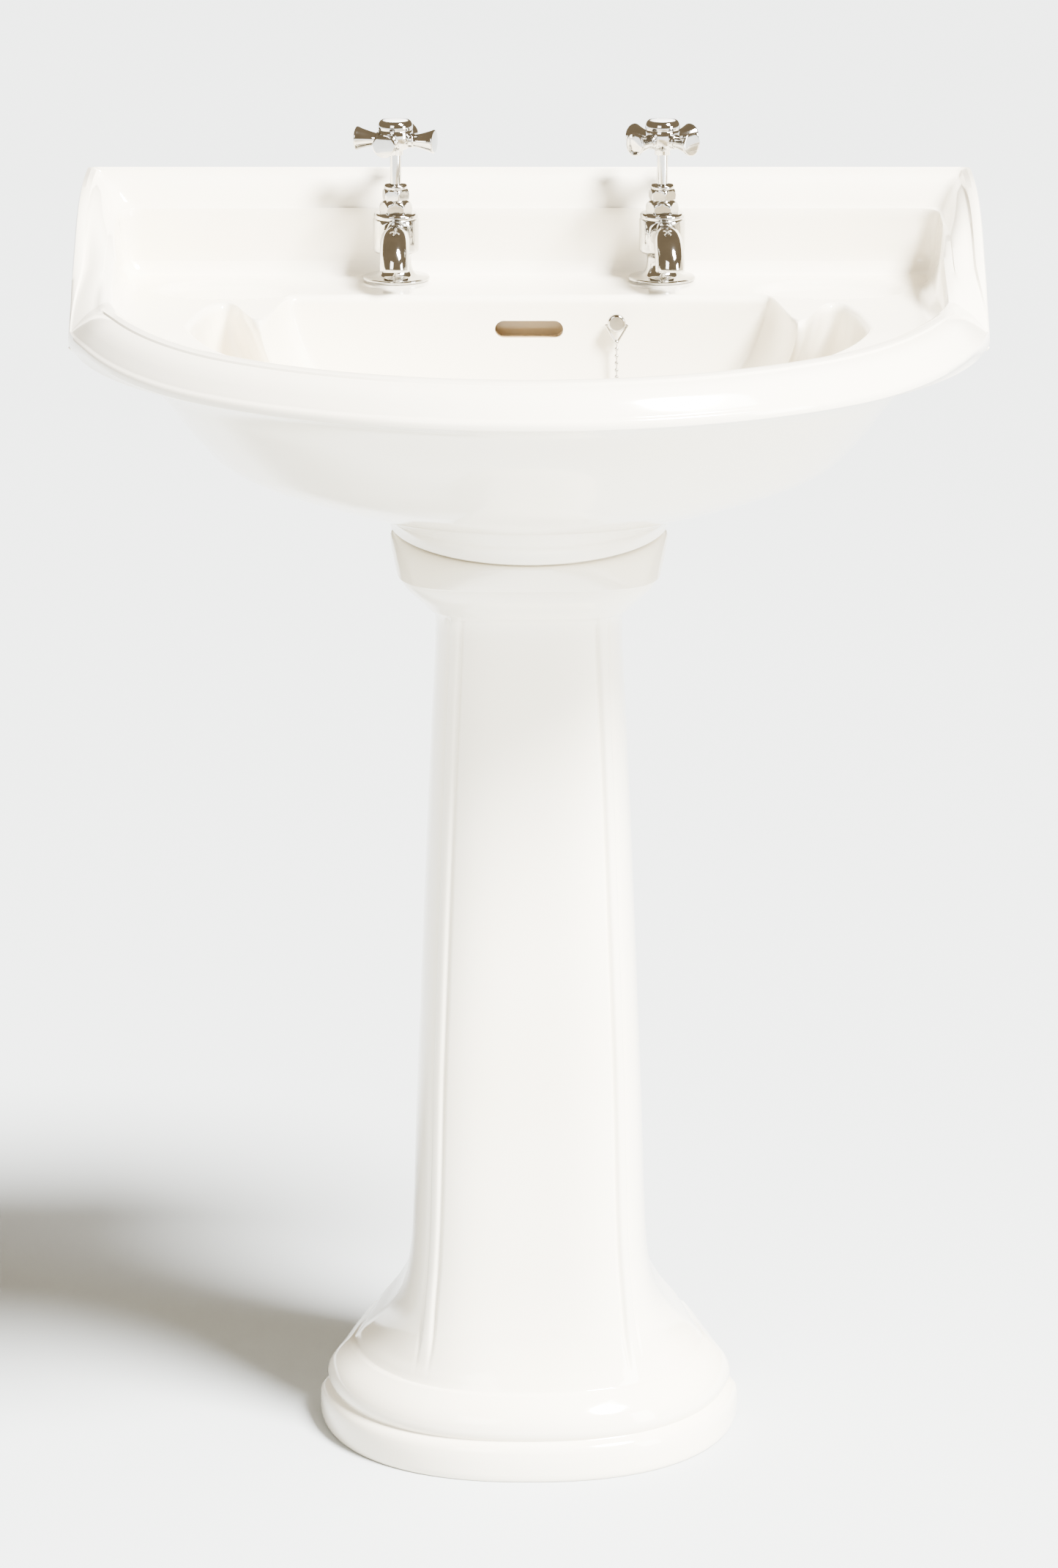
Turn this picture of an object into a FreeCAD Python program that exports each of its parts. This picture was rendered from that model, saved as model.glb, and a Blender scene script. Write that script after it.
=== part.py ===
import FreeCAD, Part
import math
import os
import re

import Sketcher
from FreeCAD import Placement, Rotation, Vector

# A traditional pedestal sink: a china basin with a moulded upstand, a hollow
# china pedestal, two pillar taps with crosshead handles, a slotted waste with
# a bottle trap, and a plug on a ball chain.
#
# Frame, in millimetres: X to the right, Y towards the wall, Z up.  The origin
# is on the floor, under the middle of the basin.  Most places are given as
# "out", the distance from the wall, because that is how a plumber measures.

FOLDER = "parts"

doc = FreeCAD.newDocument("PedestalSink")
sheet = doc.addObject("Spreadsheet::Sheet", "Sizes")

SIZES = [
    # alias, value, meaning
    ("basin_width", 635, "width of the basin"),
    ("basin_depth", 475, "basin, wall to front of rim"),
    ("basin_foot", 664, "height of the basin's underside on the pedestal"),
    ("rim_foot", 802, "height of the underside of the front rim"),
    ("rim_crest", 833, "height of the front rim"),
    ("deck_level", 822, "height of the tap ledge"),
    ("upstand_top", 895, "height of the upstand at the wall"),
    ("ribbon_width", 31, "width of the moulding along the edge, seen from above"),
    ("panel_out", 26, "wall to the face of the back panel"),
    ("shoulder_out", 205, "wall to the corner where the bowed front starts"),
    ("china_wall", 14, "thickness of the china at the back and round the bowl"),
    ("deck_thick", 10, "thickness of the tap ledge"),
    ("pedestal_wall", 13, "thickness of the pedestal's china"),
    ("pedestal_back_out", 70, "wall to the back edge of the pedestal"),
    ("gasket_thick", 2, "thickness of the pad between basin and pedestal"),
    ("gasket_inset", 4.5, "edge of the pedestal's collar to the edge of the pad"),
    ("gasket_width", 7, "width of the pad round the collar"),
    ("bolt_spacing", 280, "distance between the two wall bolt holes"),
    ("bolt_level", 760, "height of the wall bolt holes"),
    ("bolt_hole_radius", 5.5, "radius of a wall bolt hole"),
    ("screw_spacing", 212, "distance between the two floor screw holes"),
    ("screw_out", 92, "wall to the floor screw holes"),
    ("screw_hole_radius", 4, "radius of a floor screw hole"),
    ("tap_spacing", 189, "distance between the two taps"),
    ("tap_out", 52, "wall to the tap axis"),
    ("tap_hole_radius", 14, "radius of a tap hole"),
    ("deck_washer_thick", 0.8, "thickness of the washer under a tap flange"),
    ("flange_radius", 24, "tap flange"),
    ("neck_radius", 10.75, "tap neck"),
    ("barrel_radius", 16.3, "tap barrel"),
    ("barrel_foot", 20, "tap flange to the underside of the barrel"),
    ("barrel_top", 48, "tap flange to the top of the barrel"),
    ("chamber_radius", 12, "valve chamber in the barrel"),
    ("tail_radius", 10.48, "threaded tail, half-inch pipe thread"),
    ("tail_length", 55, "length of the threaded tail"),
    ("inlet_radius", 6.5, "water way in the tail"),
    ("seat_radius", 5, "hole through the valve seat"),
    ("seat_level", 22, "tap flange to the valve seat"),
    ("spout_radius", 10.3, "outside of the spout"),
    ("spout_bore", 7.5, "inside of the spout"),
    ("spout_level", 34, "tap flange to the middle of the spout at the barrel"),
    ("spout_run", 36, "tap axis to where the spout starts to turn down"),
    ("spout_bend", 24, "radius of the spout's bend"),
    ("spout_sweep", 66, "angle that the spout turns through"),
    ("spindle_radius", 4, "tap spindle"),
    ("spindle_fit", 0.05, "radial clearance of the spindle in its guides"),
    ("gland_top", 68, "tap flange to the top of the gland nut"),
    ("hub_foot", 89.2, "tap flange to the underside of the crosshead hub"),
    ("hub_radius", 12.3, "crosshead hub"),
    ("arm_level", 10.5, "hub underside to the middle of the arms"),
    ("arm_reach", 29, "tap axis to the tip of an arm"),
    ("arm_root_radius", 4.3, "arm beside the hub"),
    ("arm_tip_radius", 8.5, "arm at its tip"),
    ("hot_handle_turn", -15.7, "angle of the hot crosshead when closed"),
    ("cold_handle_turn", 45, "angle of the cold crosshead when closed"),
    ("cold_body_turn", 4.5, "the cold tap stands a little askew"),
    ("waste_out", 180, "wall to the axis of the waste"),
    ("waste_seat", 689.5, "height of the bottom of the recess for the waste flange"),
    ("waste_hole_radius", 23, "waste hole in the china"),
    ("waste_body_radius", 20.9, "threaded body of the waste"),
    ("waste_bore", 16, "bore of the waste"),
    ("waste_tail_level", 600, "height of the lower end of the waste"),
    ("trap_radius", 31, "bottle of the trap"),
    ("trap_outlet_level", 560, "height of the waste pipe"),
    ("pipe_radius", 16, "waste pipe"),
    ("pipe_bore", 14.3, "inside of the waste pipe"),
    ("stay_across", 61.5, "middle of the basin to the chain stay"),
    ("stay_level", 804, "height of the chain stay"),
    ("stay_face_out", 114.6, "wall to the face of the bowl behind the stay"),
    ("overflow_width", 48, "overflow slot"),
    ("overflow_height", 12.5, "overflow slot"),
    ("overflow_level", 798, "height of the overflow slot"),
    ("chain_diameter", 3.2, "ball chain"),
]

for row, (alias, number, meaning) in enumerate(SIZES, start=1):
    sheet.set(f"A{row}", meaning)
    sheet.set(f"B{row}", str(number))
    sheet.setAlias(f"B{row}", alias)
doc.recompute()

ALIASES = re.compile(r"\b(" + "|".join(alias for alias, _, _ in SIZES) + r")\b")
parts = []


# ---------------------------------------------------------------- helpers

def size(expression):
    """The number that an expression of sheet aliases comes to."""
    return float(sheet.evalExpression(expression))


def bind(thing, setting, expression):
    """Tie a setting of an object to the sheet."""
    thing.setExpression(setting, ALIASES.sub(r"Sizes.\1", expression))


def place(thing, across="0", out="0", up="0", turn=0.0):
    """Put a piece at a distance across, out from the wall and up, turned about Z."""
    thing.Placement = Placement(Vector(), Rotation(Vector(0, 0, 1), turn))
    bind(thing, ".Placement.Base.x", across)
    bind(thing, ".Placement.Base.y", f"basin_depth / 2 - ({out})")
    bind(thing, ".Placement.Base.z", up)


def keep(thing, label):
    """Name a finished sub-part and put it on the list of files to write."""
    thing.Label = label
    parts.append(thing)
    return thing


def origin_part(body, role):
    return next(item for item in body.Origin.OriginFeatures if item.Role == role)


def new_sketch(body, name, plane):
    sketch = body.newObject("Sketcher::SketchObject", name)
    sketch.AttachmentSupport = [(origin_part(body, plane), "")]
    sketch.MapMode = "FlatFace"
    return sketch


def fix_vertex(sketch, line, kind, expression, axis):
    """Hold the start of a line at a distance from the sketch's origin."""
    distance = size(expression)
    if abs(distance) < 1e-9:
        sketch.addConstraint(Sketcher.Constraint("PointOnObject", line, 1, axis))
        return
    number = sketch.addConstraint(Sketcher.Constraint(kind, -1, 1, line, 1, distance))
    bind(sketch, f"Constraints[{number}]", expression)


def draw_outline(sketch, points):
    """A closed chain of lines through points whose coordinates are expressions."""
    corners = [Vector(size(across), size(up), 0) for across, up in points]
    following = corners[1:] + corners[:1]
    for start, end in zip(corners, following):
        sketch.addGeometry(Part.LineSegment(start, end))
    for line in range(len(points)):
        after = (line + 1) % len(points)
        sketch.addConstraint(Sketcher.Constraint("Coincident", line, 2, after, 1))
    for line, (across, up) in enumerate(points):
        fix_vertex(sketch, line, "DistanceX", across, -2)
        fix_vertex(sketch, line, "DistanceY", up, -1)


def draw_circle(sketch, radius, up):
    """A circle on the sketch's upright axis."""
    circle = Part.Circle(Vector(0, size(up), 0), Vector(0, 0, 1), size(radius))
    sketch.addGeometry(circle)
    sketch.addConstraint(Sketcher.Constraint("PointOnObject", 0, 3, -2))
    height = sketch.addConstraint(Sketcher.Constraint("DistanceY", -1, 1, 0, 3, size(up)))
    width = sketch.addConstraint(Sketcher.Constraint("Radius", 0, size(radius)))
    bind(sketch, f"Constraints[{height}]", up)
    bind(sketch, f"Constraints[{width}]", radius)


def revolve(body, name, points, kind="PartDesign::Revolution"):
    """Turn an outline of (radius, height) points about the body's own Z axis."""
    sketch = new_sketch(body, name + "_outline", "XZ_Plane")
    draw_outline(sketch, points)
    feature = body.newObject(kind, name)
    feature.Profile = sketch
    feature.ReferenceAxis = (sketch, ["V_Axis"])
    feature.Angle = 360
    return feature


def turned(label, points, **where):
    """A piece turned on a lathe: its outline is a closed list of (radius, height)."""
    body = doc.addObject("PartDesign::Body", label)
    revolve(body, label + "_turning", points)
    place(body, **where)
    return keep(body, label)


def ring_outline(inner, outer, foot, top):
    return [(inner, foot), (outer, foot), (outer, top), (inner, top)]


def hexagon_nut(label, across_flats, thick, bore, turn=0.0, **where):
    """A plain hexagon nut, padded from a six-sided sketch and bored."""
    body = doc.addObject("PartDesign::Body", label)
    blank = body.newObject("PartDesign::AdditivePrism", label + "_blank")
    blank.Polygon = 6
    bind(blank, "Circumradius", f"({across_flats}) / sqrt(3)")
    bind(blank, "Height", thick)
    hole = body.newObject("PartDesign::SubtractiveCylinder", label + "_bore")
    bind(hole, "Radius", bore)
    bind(hole, "Height", thick)
    place(body, turn=turn, **where)
    return keep(body, label)


def point_at(across, out, up):
    """A point in the part's frame from distances across, from the wall and up."""
    return Vector(across, size("basin_depth") / 2 - out, up)


def box_at(across, out, up):
    """A box from three (low, high) pairs: across, out from the wall, and up."""
    corner = point_at(across[0], out[1], up[0])
    return Part.makeBox(across[1] - across[0], out[1] - out[0], up[1] - up[0], corner)


def loft(wires):
    return Part.makeLoft(wires, True, True)


def feature_from(shape, name):
    item = doc.addObject("Part::Feature", name)
    item.Shape = shape
    return item


def cylinder(name, radius, height, axis=(0, 0, 1), **where):
    """A Part cylinder tied to the sheet, along one axis of the frame."""
    item = doc.addObject("Part::Cylinder", name)
    bind(item, "Radius", radius)
    bind(item, "Height", height)
    place(item, **where)
    base = item.Placement.Base
    item.Placement = Placement(base, Rotation(Vector(0, 0, 1), Vector(*axis)))
    return item


def fuse(name, items):
    joined = doc.addObject("Part::MultiFuse", name)
    joined.Shapes = items
    return joined


def cut(name, base, tool):
    result = doc.addObject("Part::Cut", name)
    result.Base = base
    result.Tool = tool
    return result


# ---------------------------------------------------------------- basin

FRONT_POWER = 2.0    # roundness of the bowed front; 2 is an ellipse
FRONT_OVERRUN = 0.2  # how far behind the shoulder the front's curve is centred
PIPE_WAY = 40        # width of the way past the foot for a supply pipe


def bowed_wire(up, half, back, shoulder, front, power=FRONT_POWER, draw_in=0):
    """A closed D: straight back and sides, and a bowed front between two corners.

    draw_in is how much each side closes in towards the back, for each millimetre of depth.
    """
    centre = shoulder - FRONT_OVERRUN * (front - shoulder)
    reach = front - centre
    corner = 1 - ((shoulder - centre) / reach) ** power
    spread = half / corner ** (1 / power)
    points = []
    for step in range(-8, 9):
        across = half * math.sin(math.radians(step * 90 / 8))
        share = 1 - (abs(across) / spread) ** power
        points.append(point_at(across, centre + reach * share ** (1 / power), up))
    curve = Part.BSplineCurve()
    curve.interpolate(points)
    back_half = half - draw_in * (shoulder - back)
    left_back = point_at(-back_half, back, up)
    right_back = point_at(back_half, back, up)
    edges = [
        Part.LineSegment(left_back, points[0]).toShape(),
        curve.toShape(),
        Part.LineSegment(points[-1], right_back).toShape(),
        Part.LineSegment(right_back, left_back).toShape(),
    ]
    return Part.Wire(edges)


def basin_outside():
    """The bellied underside and the moulded front rim, from the foot up to the crest."""
    half = size("basin_width") / 2
    front = size("basin_depth")
    foot = size("rim_foot")
    shoulder = size("shoulder_out")
    sections = [
        # height, half width, back, shoulder and front, out from the wall
        (size("basin_foot"), 97, 72, 150, 266),
        (675, 101, 60, 152, 271),
        (690, 127, 30, 165, 302),
        (704, 171, 8, 180, 338),
        (717, 203, 0, 195, 366),
        (744, 231, 0, 212, 400),
        (775, 254, 0, 220, 432),
        (foot - 5, half - 27, 0, 212, front - 22),
        (foot, half - 5, 0, shoulder - 2, front - 6),
        (foot + 3, half, 0, shoulder, front),
        (foot + 7, half, 0, shoulder, front),
        (size("rim_crest"), half - 12, 0, shoulder, front - 13),
    ]
    return loft([bowed_wire(*section) for section in sections])


def upstand_block():
    """The wall along the back and sides, whose top sweeps down to the front corners."""
    half = size("basin_width") / 2
    top = size("upstand_top")
    foot = size("rim_foot") + 3
    crest = size("rim_crest")
    shoulder = size("shoulder_out")
    level = point_at(-half, 0, top)
    sweep = [(55, top - 2), (105, top - 14), (144, top - 36), (187, crest), (shoulder, crest - 13)]
    edge = Part.BSplineCurve()
    edge.interpolate([level] + [point_at(-half, out, up) for out, up in sweep])
    front_top = point_at(-half, shoulder, crest - 13)
    front_foot = point_at(-half, shoulder, foot)
    back_foot = point_at(-half, 0, foot)
    outline = Part.Wire([
        edge.toShape(),
        Part.LineSegment(front_top, front_foot).toShape(),
        Part.LineSegment(front_foot, back_foot).toShape(),
        Part.LineSegment(back_foot, level).toShape(),
    ])
    return Part.Face(outline).extrude(Vector(2 * half, 0, 0))


def space_above_deck():
    """What the mouldings stand round: open above the tap ledge, with a sloped face."""
    half = size("basin_width") / 2 - size("ribbon_width")
    back = size("panel_out")
    deck = size("deck_level")
    top = size("upstand_top")
    front = size("basin_depth") - size("ribbon_width")
    upright = loft([
        bowed_wire(deck, half, back, size("shoulder_out"), front),
        bowed_wire(top + 5, half, back, size("shoulder_out"), front),
    ])
    slope = loft([
        bowed_wire(top - 25, half, back - 3, 400, 600),
        bowed_wire(top + 1, half + 23, 8, 400, 600),
    ])
    return upright.fuse(slope)


def bowl_space():
    """The hollow of the bowl: a deep middle, a wide front and a lobe at each side."""
    brim = size("deck_level") + 1
    lobe_foot = 752
    middle = loft([bowed_wire(*section) for section in [
        (brim, 178, 112, 230, 440),
        (780, 176, 116, 220, 415),
        (744, 168, 120, 212, 384),
        (720, 150, 124, 198, 350),
        (706, 125, 127, 186, 320),
        (697, 90, 132, 180, 280),
        (692, 42, 142, 178, 222),
    ]])
    wide = loft([bowed_wire(*section) for section in [
        (brim, 236, 196, 240, 441),
        (790, 233, 196, 228, 426),
        (768, 230, 196, 220, 410),
        (744, 215, 196, 212, 384),
        (722, 190, 192, 198, 354),
        (708, 160, 185, 186, 326),
        (699, 118, 170, 172, 292),
    ]])
    space = middle.fuse(wide)
    for side in (-1, 1):
        foot = point_at(side * 200, 200, lobe_foot)
        lean = Vector(side * 10, 30, brim - lobe_foot)
        lobe = Part.makeCone(14, 27, lean.Length, foot, lean)
        space = space.fuse(lobe.common(box_at((-300, 300), (100, 300), (lobe_foot, brim))))
    return space


def cavity_wire(up, half, near, far):
    corners = [(-half, near), (half, near), (half, far), (-half, far), (-half, near)]
    return Part.makePolygon([point_at(across, out, up) for across, out in corners])


def space_behind_bowl():
    """The hollow under the tap ledge, open below, less the overflow's duct."""
    wall = size("china_wall")
    ceiling = size("deck_level") - size("deck_thick")
    foot = size("basin_foot")
    hollow = loft([
        cavity_wire(ceiling, 298, wall, 98),
        cavity_wire(790, 262, wall, 99),
        cavity_wire(775, 240, wall, 99),
        cavity_wire(744, 217, wall, 104),
        cavity_wire(717, 189, wall, 108),
        cavity_wire(704, 157, wall + 6, 111),
        cavity_wire(690, 112, 44, 116),
        cavity_wire(foot - 4, 84, 50, 118),
    ])
    duct = box_at((-33, 33), (84, 130), (foot - 4, ceiling))
    hollow = hollow.cut(duct)
    # a way down past the foot for each supply pipe, open towards the wall
    pipe = size("tap_spacing") / 2
    for side in (-1, 1):
        edges = sorted((side * (pipe - PIPE_WAY / 2), side * (pipe + PIPE_WAY / 2)))
        hollow = hollow.fuse(box_at(edges, (-5, 72), (foot - 4, 712)))
    return hollow


def overflow_space():
    """The overflow slot, the duct behind it and the passage to the waste."""
    half = size("overflow_width") / 2
    radius = size("overflow_height") / 2
    level = size("overflow_level")
    duct_foot = size("basin_foot") + 8
    slot = box_at((radius - half, half - radius), (96, 126), (level - radius, level + radius))
    for side in (-1, 1):
        end = point_at(side * (half - radius), 126, level)
        slot = slot.fuse(Part.makeCylinder(radius, 30, end, Vector(0, 1, 0)))
    duct = box_at((-half, half), (91, 101), (duct_foot, level + radius))
    passage = box_at((-12, 12), (91, size("waste_out")), (duct_foot, duct_foot + 8))
    return slot.fuse([duct, passage])


def soap_dishes():
    """Two shallow oval recesses in the tap ledge."""
    shapes = []
    for side in (-1, 1):
        oval = Part.Ellipse(point_at(side * 213, 88, size("deck_level") - 4), 55, 38).toShape()
        shapes.append(Part.Face(Part.Wire(oval)).extrude(Vector(0, 0, 10)))
    return shapes


def make_basin():
    solid = basin_outside().fuse(upstand_block())
    for space in [space_above_deck(), bowl_space(), space_behind_bowl(), overflow_space()]:
        solid = solid.cut(space)
    for recess in soap_dishes():
        solid = solid.cut(recess)
    moulded = feature_from(solid.removeSplitter(), "basin_moulding")
    half_taps = "tap_spacing / 2"
    half_bolts = "bolt_spacing / 2"
    holes = []
    for side, sign in (("left", "-"), ("right", "")):
        holes.append(cylinder(side + "_tap_hole", "tap_hole_radius", "40",
                              across=sign + half_taps, out="tap_out", up="deck_level - 30"))
        holes.append(cylinder(side + "_bolt_hole", "bolt_hole_radius", "china_wall + 4", axis=(0, 1, 0),
                              across=sign + half_bolts, out="china_wall + 2", up="bolt_level"))
    holes.append(cylinder("waste_hole", "waste_hole_radius", "60",
                          out="waste_out", up="basin_foot - 10"))
    holes.append(cylinder("waste_recess", "36", "12", out="waste_out", up="waste_seat"))
    holes.append(cylinder("stay_hole", "3", "30", axis=(0, 1, 0),
                          across="stay_across", out="stay_face_out + 5", up="stay_level"))
    keep(cut("basin_china", moulded, fuse("basin_holes", holes)), "basin")


# ---------------------------------------------------------------- pedestal

PEDESTAL_SECTIONS = [
    # height, half width, shoulder and front (out from the wall), squareness of the front
    (0, 150.5, 150, 286.5, 2.3),
    (4, 152, 150, 288, 2.3),
    (30, 151.5, 150, 287.5, 2.3),
    (34, 145.5, 148, 281.5, 2.3),
    (48, 143, 147, 279, 2.3),
    (57, 137, 147, 273, 2.4),
    (66, 128, 148, 265, 2.5),
    (81, 106.5, 156, 254, 2.9),
    (99, 92.5, 164, 248, 3.3),
    (123, 86, 170, 246, 3.6),
    (242, 81, 172, 243, 3.6),
    (316, 78, 172, 241, 3.6),
    (462, 72, 170, 236, 3.6),
    (603, 65.5, 168, 231, 3.6),
    (617, 66, 168, 232, 3.6),
    (622, 72, 170, 238, 3.7),
    (636, 84, 178, 250, 4),
    (643, 93, 186, 259, 4),
    (650, 96.5, 176, 262, 3.2),
    (662, 97.5, 150, 264.5, 2),
]
LUG_ACROSS = (86, 129)  # the floor lugs inside the back edges, each side of the middle
LUG_DEEP = 40
LUG_THICK = 14
SLENDER_HALF = 62  # the sides run straight back here, and close in more the wider the section is
CLOSING = 0.003


def pedestal_section(up, half, back, shoulder, front, power, inset=0):
    """One level of the pedestal, or of its hollow when inset by the thickness of the china."""
    draw_in = CLOSING * (half - SLENDER_HALF)
    return bowed_wire(up, half - inset, back, shoulder, front - inset, power, draw_in)


def make_pedestal():
    wall = size("pedestal_wall")
    back = size("pedestal_back_out")
    top = size("basin_foot") - size("gasket_thick")
    sections = PEDESTAL_SECTIONS[:-1] + [(top,) + PEDESTAL_SECTIONS[-1][1:]]
    outside = loft([pedestal_section(up, half, back, shoulder, front, power)
                    for up, half, shoulder, front, power in sections])
    lowest = (-1,) + sections[0][1:]
    highest = (top + 1,) + sections[-1][1:]
    hollow = loft([pedestal_section(up, half, back - 20, shoulder, front, power, wall)
                   for up, half, shoulder, front, power in [lowest] + sections[1:-1] + [highest]])
    china = outside.cut(hollow)
    for side in (-1, 1):
        edges = sorted(side * edge for edge in LUG_ACROSS)
        china = china.fuse(box_at(edges, (back, back + LUG_DEEP), (0, LUG_THICK)))
    moulded = feature_from(china.removeSplitter(), "pedestal_moulding")
    holes = [cylinder(side + "_screw_hole", "screw_hole_radius", "30",
                      across=sign + "screw_spacing / 2", out="screw_out", up="-5")
             for side, sign in (("left", "-"), ("right", ""))]
    keep(cut("pedestal_china", moulded, fuse("pedestal_holes", holes)), "pedestal")

    _, half, shoulder, front, power = PEDESTAL_SECTIONS[-1]
    inset = size("gasket_inset")
    pad_edge = pedestal_section(top, half, back, shoulder, front, power, inset)
    inset = inset + size("gasket_width")
    pad_hole = pedestal_section(top, half, back - 20, shoulder, front, power, inset)
    lift = Vector(0, 0, size("gasket_thick"))
    pad = Part.Face(pad_edge).extrude(lift).cut(Part.Face(pad_hole).extrude(lift))
    keep(feature_from(pad, "seat_pad"), "pedestal_seat_pad")


# ---------------------------------------------------------------- taps

SEAT = "deck_level + deck_washer_thick"


def spout_pipe(body, spine, kind, name, radius):
    """Sweep a ring along the spout's line, to add the spout or to bore it."""
    ring = new_sketch(body, name + "_ring", "XZ_Plane")
    draw_circle(ring, radius, "spout_level")
    doc.recompute()
    pipe = body.newObject(kind, name)
    pipe.Profile = ring
    pipe.Spine = spine


def tap_body(name, turn, **where):
    """A pillar tap's casting: flange, neck, barrel, threaded tail and bent spout."""
    body = doc.addObject("PartDesign::Body", name + "_tap_body")
    label = name + "_body"
    revolve(body, label + "_casting", [
        ("0", "0"), ("flange_radius", "0"), ("flange_radius", "1.6"), ("flange_radius - 0.9", "2.3"),
        ("14.5", "2.9"), ("12", "5"), ("neck_radius", "9"), ("neck_radius", "17"),
        ("barrel_radius - 2", "barrel_foot - 1"), ("barrel_radius", "barrel_foot + 1"),
        ("barrel_radius", "barrel_top - 4.5"), ("barrel_radius - 0.6", "barrel_top - 4.2"),
        ("barrel_radius - 0.6", "barrel_top - 1"), ("barrel_radius - 1.6", "barrel_top"),
        ("0", "barrel_top"),
    ])
    tail = body.newObject("PartDesign::AdditiveCylinder", label + "_tail")
    bind(tail, "Radius", "tail_radius")
    bind(tail, "Height", "tail_length")
    bind(tail, ".AttachmentOffset.Base.z", "-tail_length")
    tail.AttachmentSupport = [(origin_part(body, "XY_Plane"), "")]
    tail.MapMode = "FlatFace"

    spine = new_sketch(body, label + "_spout_line", "YZ_Plane")
    level = size("spout_level")
    run = size("spout_run")
    bend = size("spout_bend")
    finish = math.radians(90 - size("spout_sweep"))
    spine.addGeometry(Part.LineSegment(Vector(0, level, 0), Vector(run, level, 0)))
    arc_circle = Part.Circle(Vector(run, level - bend, 0), Vector(0, 0, 1), bend)
    spine.addGeometry(Part.ArcOfCircle(arc_circle, finish, math.pi / 2))
    spine.addConstraint(Sketcher.Constraint("PointOnObject", 0, 1, -2))
    spine.addConstraint(Sketcher.Constraint("Horizontal", 0))
    spine.addConstraint(Sketcher.Constraint("Tangent", 0, 2, 1, 2))
    rise = spine.addConstraint(Sketcher.Constraint("DistanceY", -1, 1, 0, 1, level))
    reach = spine.addConstraint(Sketcher.Constraint("DistanceX", 0, 1, 0, 2, run))
    round_off = spine.addConstraint(Sketcher.Constraint("Radius", 1, bend))
    drop = spine.addConstraint(Sketcher.Constraint("DistanceX", 1, 3, 1, 1, bend * math.cos(finish)))
    bind(spine, f"Constraints[{rise}]", "spout_level")
    bind(spine, f"Constraints[{reach}]", "spout_run")
    bind(spine, f"Constraints[{round_off}]", "spout_bend")
    bind(spine, f"Constraints[{drop}]", "spout_bend * sin(spout_sweep * 1 deg)")
    spout_pipe(body, spine, "PartDesign::AdditivePipe", label + "_spout", "spout_radius")
    revolve(body, label + "_chamber", [
        ("0", "barrel_top"), ("chamber_radius", "barrel_top"), ("chamber_radius", "seat_level - 3"),
        ("seat_radius + 2", "seat_level - 3"), ("seat_radius + 2", "seat_level"),
        ("seat_radius", "seat_level"), ("seat_radius", "6"), ("0", "6"),
    ], kind="PartDesign::Groove")
    inlet = body.newObject("PartDesign::SubtractiveCylinder", label + "_inlet")
    bind(inlet, "Radius", "inlet_radius")
    bind(inlet, "Height", "tail_length + 6")
    inlet.AttachmentSupport = [(origin_part(body, "XY_Plane"), "")]
    inlet.MapMode = "FlatFace"
    bind(inlet, ".AttachmentOffset.Base.z", "-tail_length")
    spout_pipe(body, spine, "PartDesign::SubtractivePipe", label + "_spout_bore", "spout_bore")
    # the undercut where the thread ends, just below the back nut
    undercut = body.newObject("PartDesign::SubtractiveTorus", label + "_undercut")
    bind(undercut, "Radius1", "tail_radius + 0.6")
    bind(undercut, "Radius2", "1")
    undercut.AttachmentSupport = [(origin_part(body, "XY_Plane"), "")]
    undercut.MapMode = "FlatFace"
    bind(undercut, ".AttachmentOffset.Base.z", "-deck_thick - 14")
    place(body, turn=turn, **where)
    keep(body, name + "_tap_body")


def crosshead(name, turn, **where):
    """A hub with four flared arms."""
    body = doc.addObject("PartDesign::Body", name + "_crosshead")
    label = name + "_cross"
    revolve(body, label + "_hub", [
        ("0", "0.4"), ("5", "0"), ("5.6", "0.6"), ("5.6", "3.6"), ("8.8", "4.4"), ("11.4", "7"),
        ("hub_radius", "11"), ("hub_radius", "17.6"), ("hub_radius - 0.4", "18.2"), ("hub_radius", "18.8"),
        ("hub_radius - 0.5", "22"), ("hub_radius - 1.8", "24"), ("9.6", "24.6"), ("0", "24.6"),
    ])
    arm_sketch = new_sketch(body, label + "_arm_outline", "XZ_Plane")
    bind(arm_sketch, ".AttachmentOffset.Base.y", "arm_level")
    draw_outline(arm_sketch, [
        ("6", "0"), ("6", "arm_root_radius + 0.7"), ("13.4", "arm_root_radius + 0.7"),
        ("14", "arm_root_radius"), ("20", "arm_root_radius + 1.3"),
        ("arm_reach - 2.6", "arm_tip_radius - 0.4"),
        ("arm_reach - 2", "arm_tip_radius"), ("arm_reach - 1", "arm_tip_radius - 0.4"),
        ("arm_reach", "arm_tip_radius - 2.2"), ("arm_reach", "0"),
    ])
    arm = body.newObject("PartDesign::Revolution", label + "_arm")
    arm.Profile = arm_sketch
    arm.ReferenceAxis = (arm_sketch, ["H_Axis"])
    arm.Angle = 360
    arms = body.newObject("PartDesign::PolarPattern", label + "_arms")
    arms.Originals = [arm]
    arms.Axis = (origin_part(body, "Z_Axis"), [""])
    arms.Angle = 360
    arms.Occurrences = 4
    body.Tip = arms
    revolve(body, label + "_bores", [
        ("0", "-1"), ("spindle_radius + 0.02", "-1"), ("spindle_radius + 0.02", "13.5"), ("2.1", "13.5"),
        ("2.1", "17"), ("4.7", "17"), ("4.7", "20.6"), ("9.05", "20.6"), ("9.05", "26"), ("0", "26"),
    ], kind="PartDesign::Groove")
    place(body, turn=turn, **where)
    keep(body, name + "_crosshead")


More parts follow.
